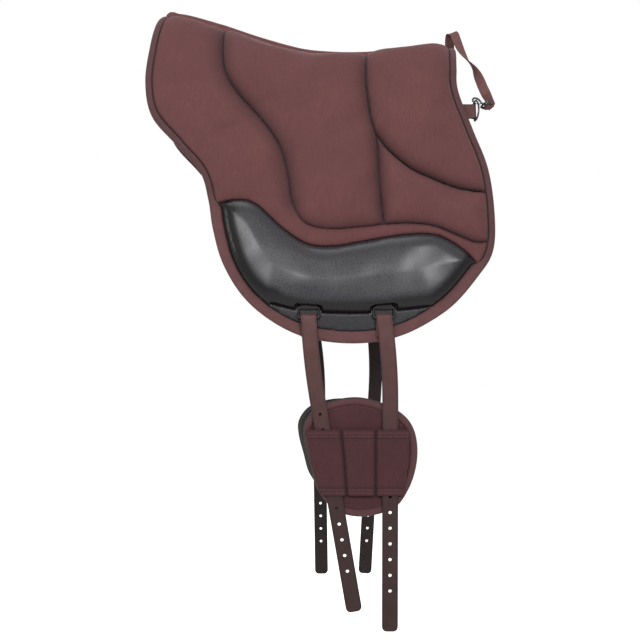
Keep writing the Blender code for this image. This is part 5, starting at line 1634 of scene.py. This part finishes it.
def make_tail_strap(bar, long, rise, leg):
    """Webbing sewn across the spine's rear end, given a half twist and folded through the eye."""
    across_eye = -leg
    reach = BAR_CLEARANCE + STRAP_WEBBING / 2
    beside = EYE_DEPTH / 2 + reach
    pinch = STRAP_WEBBING / 2 + GAP
    lift = STACK + GAP * 2 + BINDING_TAPE + STRAP_WEBBING / 2
    along = EDGE[-1].x + STRAP_OVERHANG - STRAP_WIDTH / 2
    sewn = [STRAP_SEWN * 3, 0.036 * FLAP_DROP, STRAP_SEWN]
    loose = [(draped(along, -drop, lift), ALONG) for drop in sewn]
    for point, way in zip(STRAP_SHARES, STRAP_WAYS):
        loose.append((Vector(point) * PAD_LENGTH, Vector(way).normalized()))
    line = smooth([place for place, _ in loose], STRAP_STEP)
    ways = []
    for (a, way_a), (b, way_b) in zip(loose, loose[1:]):
        count = max(1, round((b - a).length / STRAP_STEP))
        ways += [way_a.lerp(way_b, index / count) for index in range(count)]
    ways.append(loose[-1][1])
    path = list(zip(line, ways))
    open_out = beside * 1.5
    for degrees in range(0, 91, 15):
        c, s = around(degrees)
        behind, above = STRAP_RETURN + STRAP_TURN * c, pinch + STRAP_TURN * (1 - s)
        path.append((bar - long * behind - rise * above, across_eye))
    for behind, above in ((open_out, pinch + GAP), (EYE_BAR / 2, beside)):
        path.append((bar - long * behind - rise * above, across_eye))
    for corner, angles in ((1, (90, 67, 45, 22, 0)), (-1, (0, -22, -45, -67, -90))):
        for degrees in angles:
            c, s = around(degrees)
            ahead, above = EYE_BAR / 2 + reach * c, corner * EYE_DEPTH / 2 + reach * s
            path.append((bar + long * ahead - rise * above, across_eye))
    path.append((bar - long * EYE_BAR / 2 + rise * beside, across_eye))
    for behind in (open_out, STRAP_RETURN + STRAP_END):
        path.append((bar - long * behind + rise * pinch, across_eye))
    stations = []
    for index, (place, way) in enumerate(path):
        run = (path[min(index + 1, len(path) - 1)][0] - path[max(index - 1, 0)][0]).normalized()
        across = way - run * way.dot(run)
        stations.append((place, across, run.cross(across)))
    bm = strap(stations, STRAP_WIDTH, STRAP_WEBBING, STRAP_CORNER)
    settle(bm, "tail_strap_webbing_run", STRAP, ["tail_strap"], slot="webbing")
    bm = bmesh.new()
    out = draped(along, -0.02, 0.1) - draped(along, -0.02, 0)
    top = lift + STRAP_WEBBING / 2
    for shift in (-0.0055, 0.0055):
        line = [draped(along + shift, -drop, top) for drop in (0.012, 0.020, 0.029)]
        stitches(bm, line, [out] * len(line), **STRAP_ROW)
    settle(bm, "tail_strap_stitches", THREAD, [], slot="webbing")


# Floor, light and camera


def choose(tree, kinds, first, second, end):
    """Show the second shader to rays of these kinds, and the first to all others."""
    rays = add(tree, "LightPath").outputs
    seen = rays[kinds[0]]
    for kind in kinds[1:]:
        seen = sums(tree, "MAXIMUM", seen, rays[kind])
    choice = add(tree, "MixShader", {0: seen, 1: first.outputs[0], 2: second.outputs[0]})
    tree.links.new(choice.outputs[0], tree.nodes[end].inputs["Surface"])


def make_floor():
    bm = bmesh.new()
    bmesh.ops.create_grid(bm, x_segments=1, y_segments=1, size=FLOOR_SIZE)
    bmesh.ops.translate(bm, verts=bm.verts, vec=(0, 0, FLOOR_LEVEL))
    mesh = mesh_of(bm, "floor")
    paint, tree, shader = new_finish("pale_floor", 0.9)
    shader.inputs["Base Color"].default_value = (FLOOR_TONE, FLOOR_TONE, FLOOR_TONE, 1)
    lifted = add(tree, "Emission", {"Color": (1, 1, 1, 1), "Strength": FLOOR_LIFT})
    lit = add(tree, "AddShader", {0: shader.outputs[0], 1: lifted.outputs[0]})
    choose(tree, ("Is Camera Ray", "Is Glossy Ray"), shader, lit, "Material Output")
    mesh.materials.append(paint)
    placed("floor", mesh)


def make_light():
    world = bpy.data.worlds.new("studio")
    bpy.context.scene.world = world
    world.use_nodes = True
    tree = world.node_tree
    sky = tree.nodes["Background"]
    sky.inputs["Color"].default_value = (1, 1, 1, 1)
    sky.inputs["Strength"].default_value = WORLD_LIGHT
    white = add(tree, "Background", {"Color": (1, 1, 1, 1), "Strength": 1.0})
    kinds = ("Is Camera Ray", "Is Glossy Ray", "Is Transmission Ray")
    choose(tree, kinds, sky, white, "World Output")
    for name, (place, size, power) in LAMPS.items():
        lamp = bpy.data.lights.new(name, "AREA")
        lamp.size = size
        lamp.energy = power
        item = placed(name, lamp)
        item.location = place
        aim = Vector(LAMP_AIM) - Vector(place)
        item.rotation_euler = aim.to_track_quat("-Z", "Y").to_euler()


def make_camera():
    lens = bpy.data.cameras.new("camera")
    lens.lens = CAMERA_LENS
    lens.sensor_width = CAMERA_SENSOR
    item = placed("camera", lens)
    item.location = CAMERA_PLACE
    item.rotation_euler = (math.radians(90), 0, 0)
    bpy.context.scene.camera = item
    bpy.context.scene.view_settings.view_transform = "Standard"


make_camera()
make_light()
make_floor()
PATCH_TOP, PANELS, SEAMS = panel_outlines()
make_bodies(PATCH_TOP, SEAMS["seat_foot"])
make_lining()
make_binding(PATCH_TOP)
make_spine_strip()
make_cushions(PANELS, SEAMS)
make_patch(PATCH_TOP)
swell_all()
for title, (place_x, flank, *_) in BILLETS.items():
    make_loop(title, place_x, flank)
    make_billet(title)
LEVEL = BAR_UP - GUARD_DROP
make_guard("near", 1, NEAR_GUARD_X, LEVEL)
make_guard("far", -1, FAR_GUARD_X, LEVEL - FAR_GUARD_SLIP)
make_rear_ring("far", -1, FAR_RING_TURN)
make_tail_strap(*make_snap(*make_rear_ring("near", 1, NEAR_RING_TURN)))
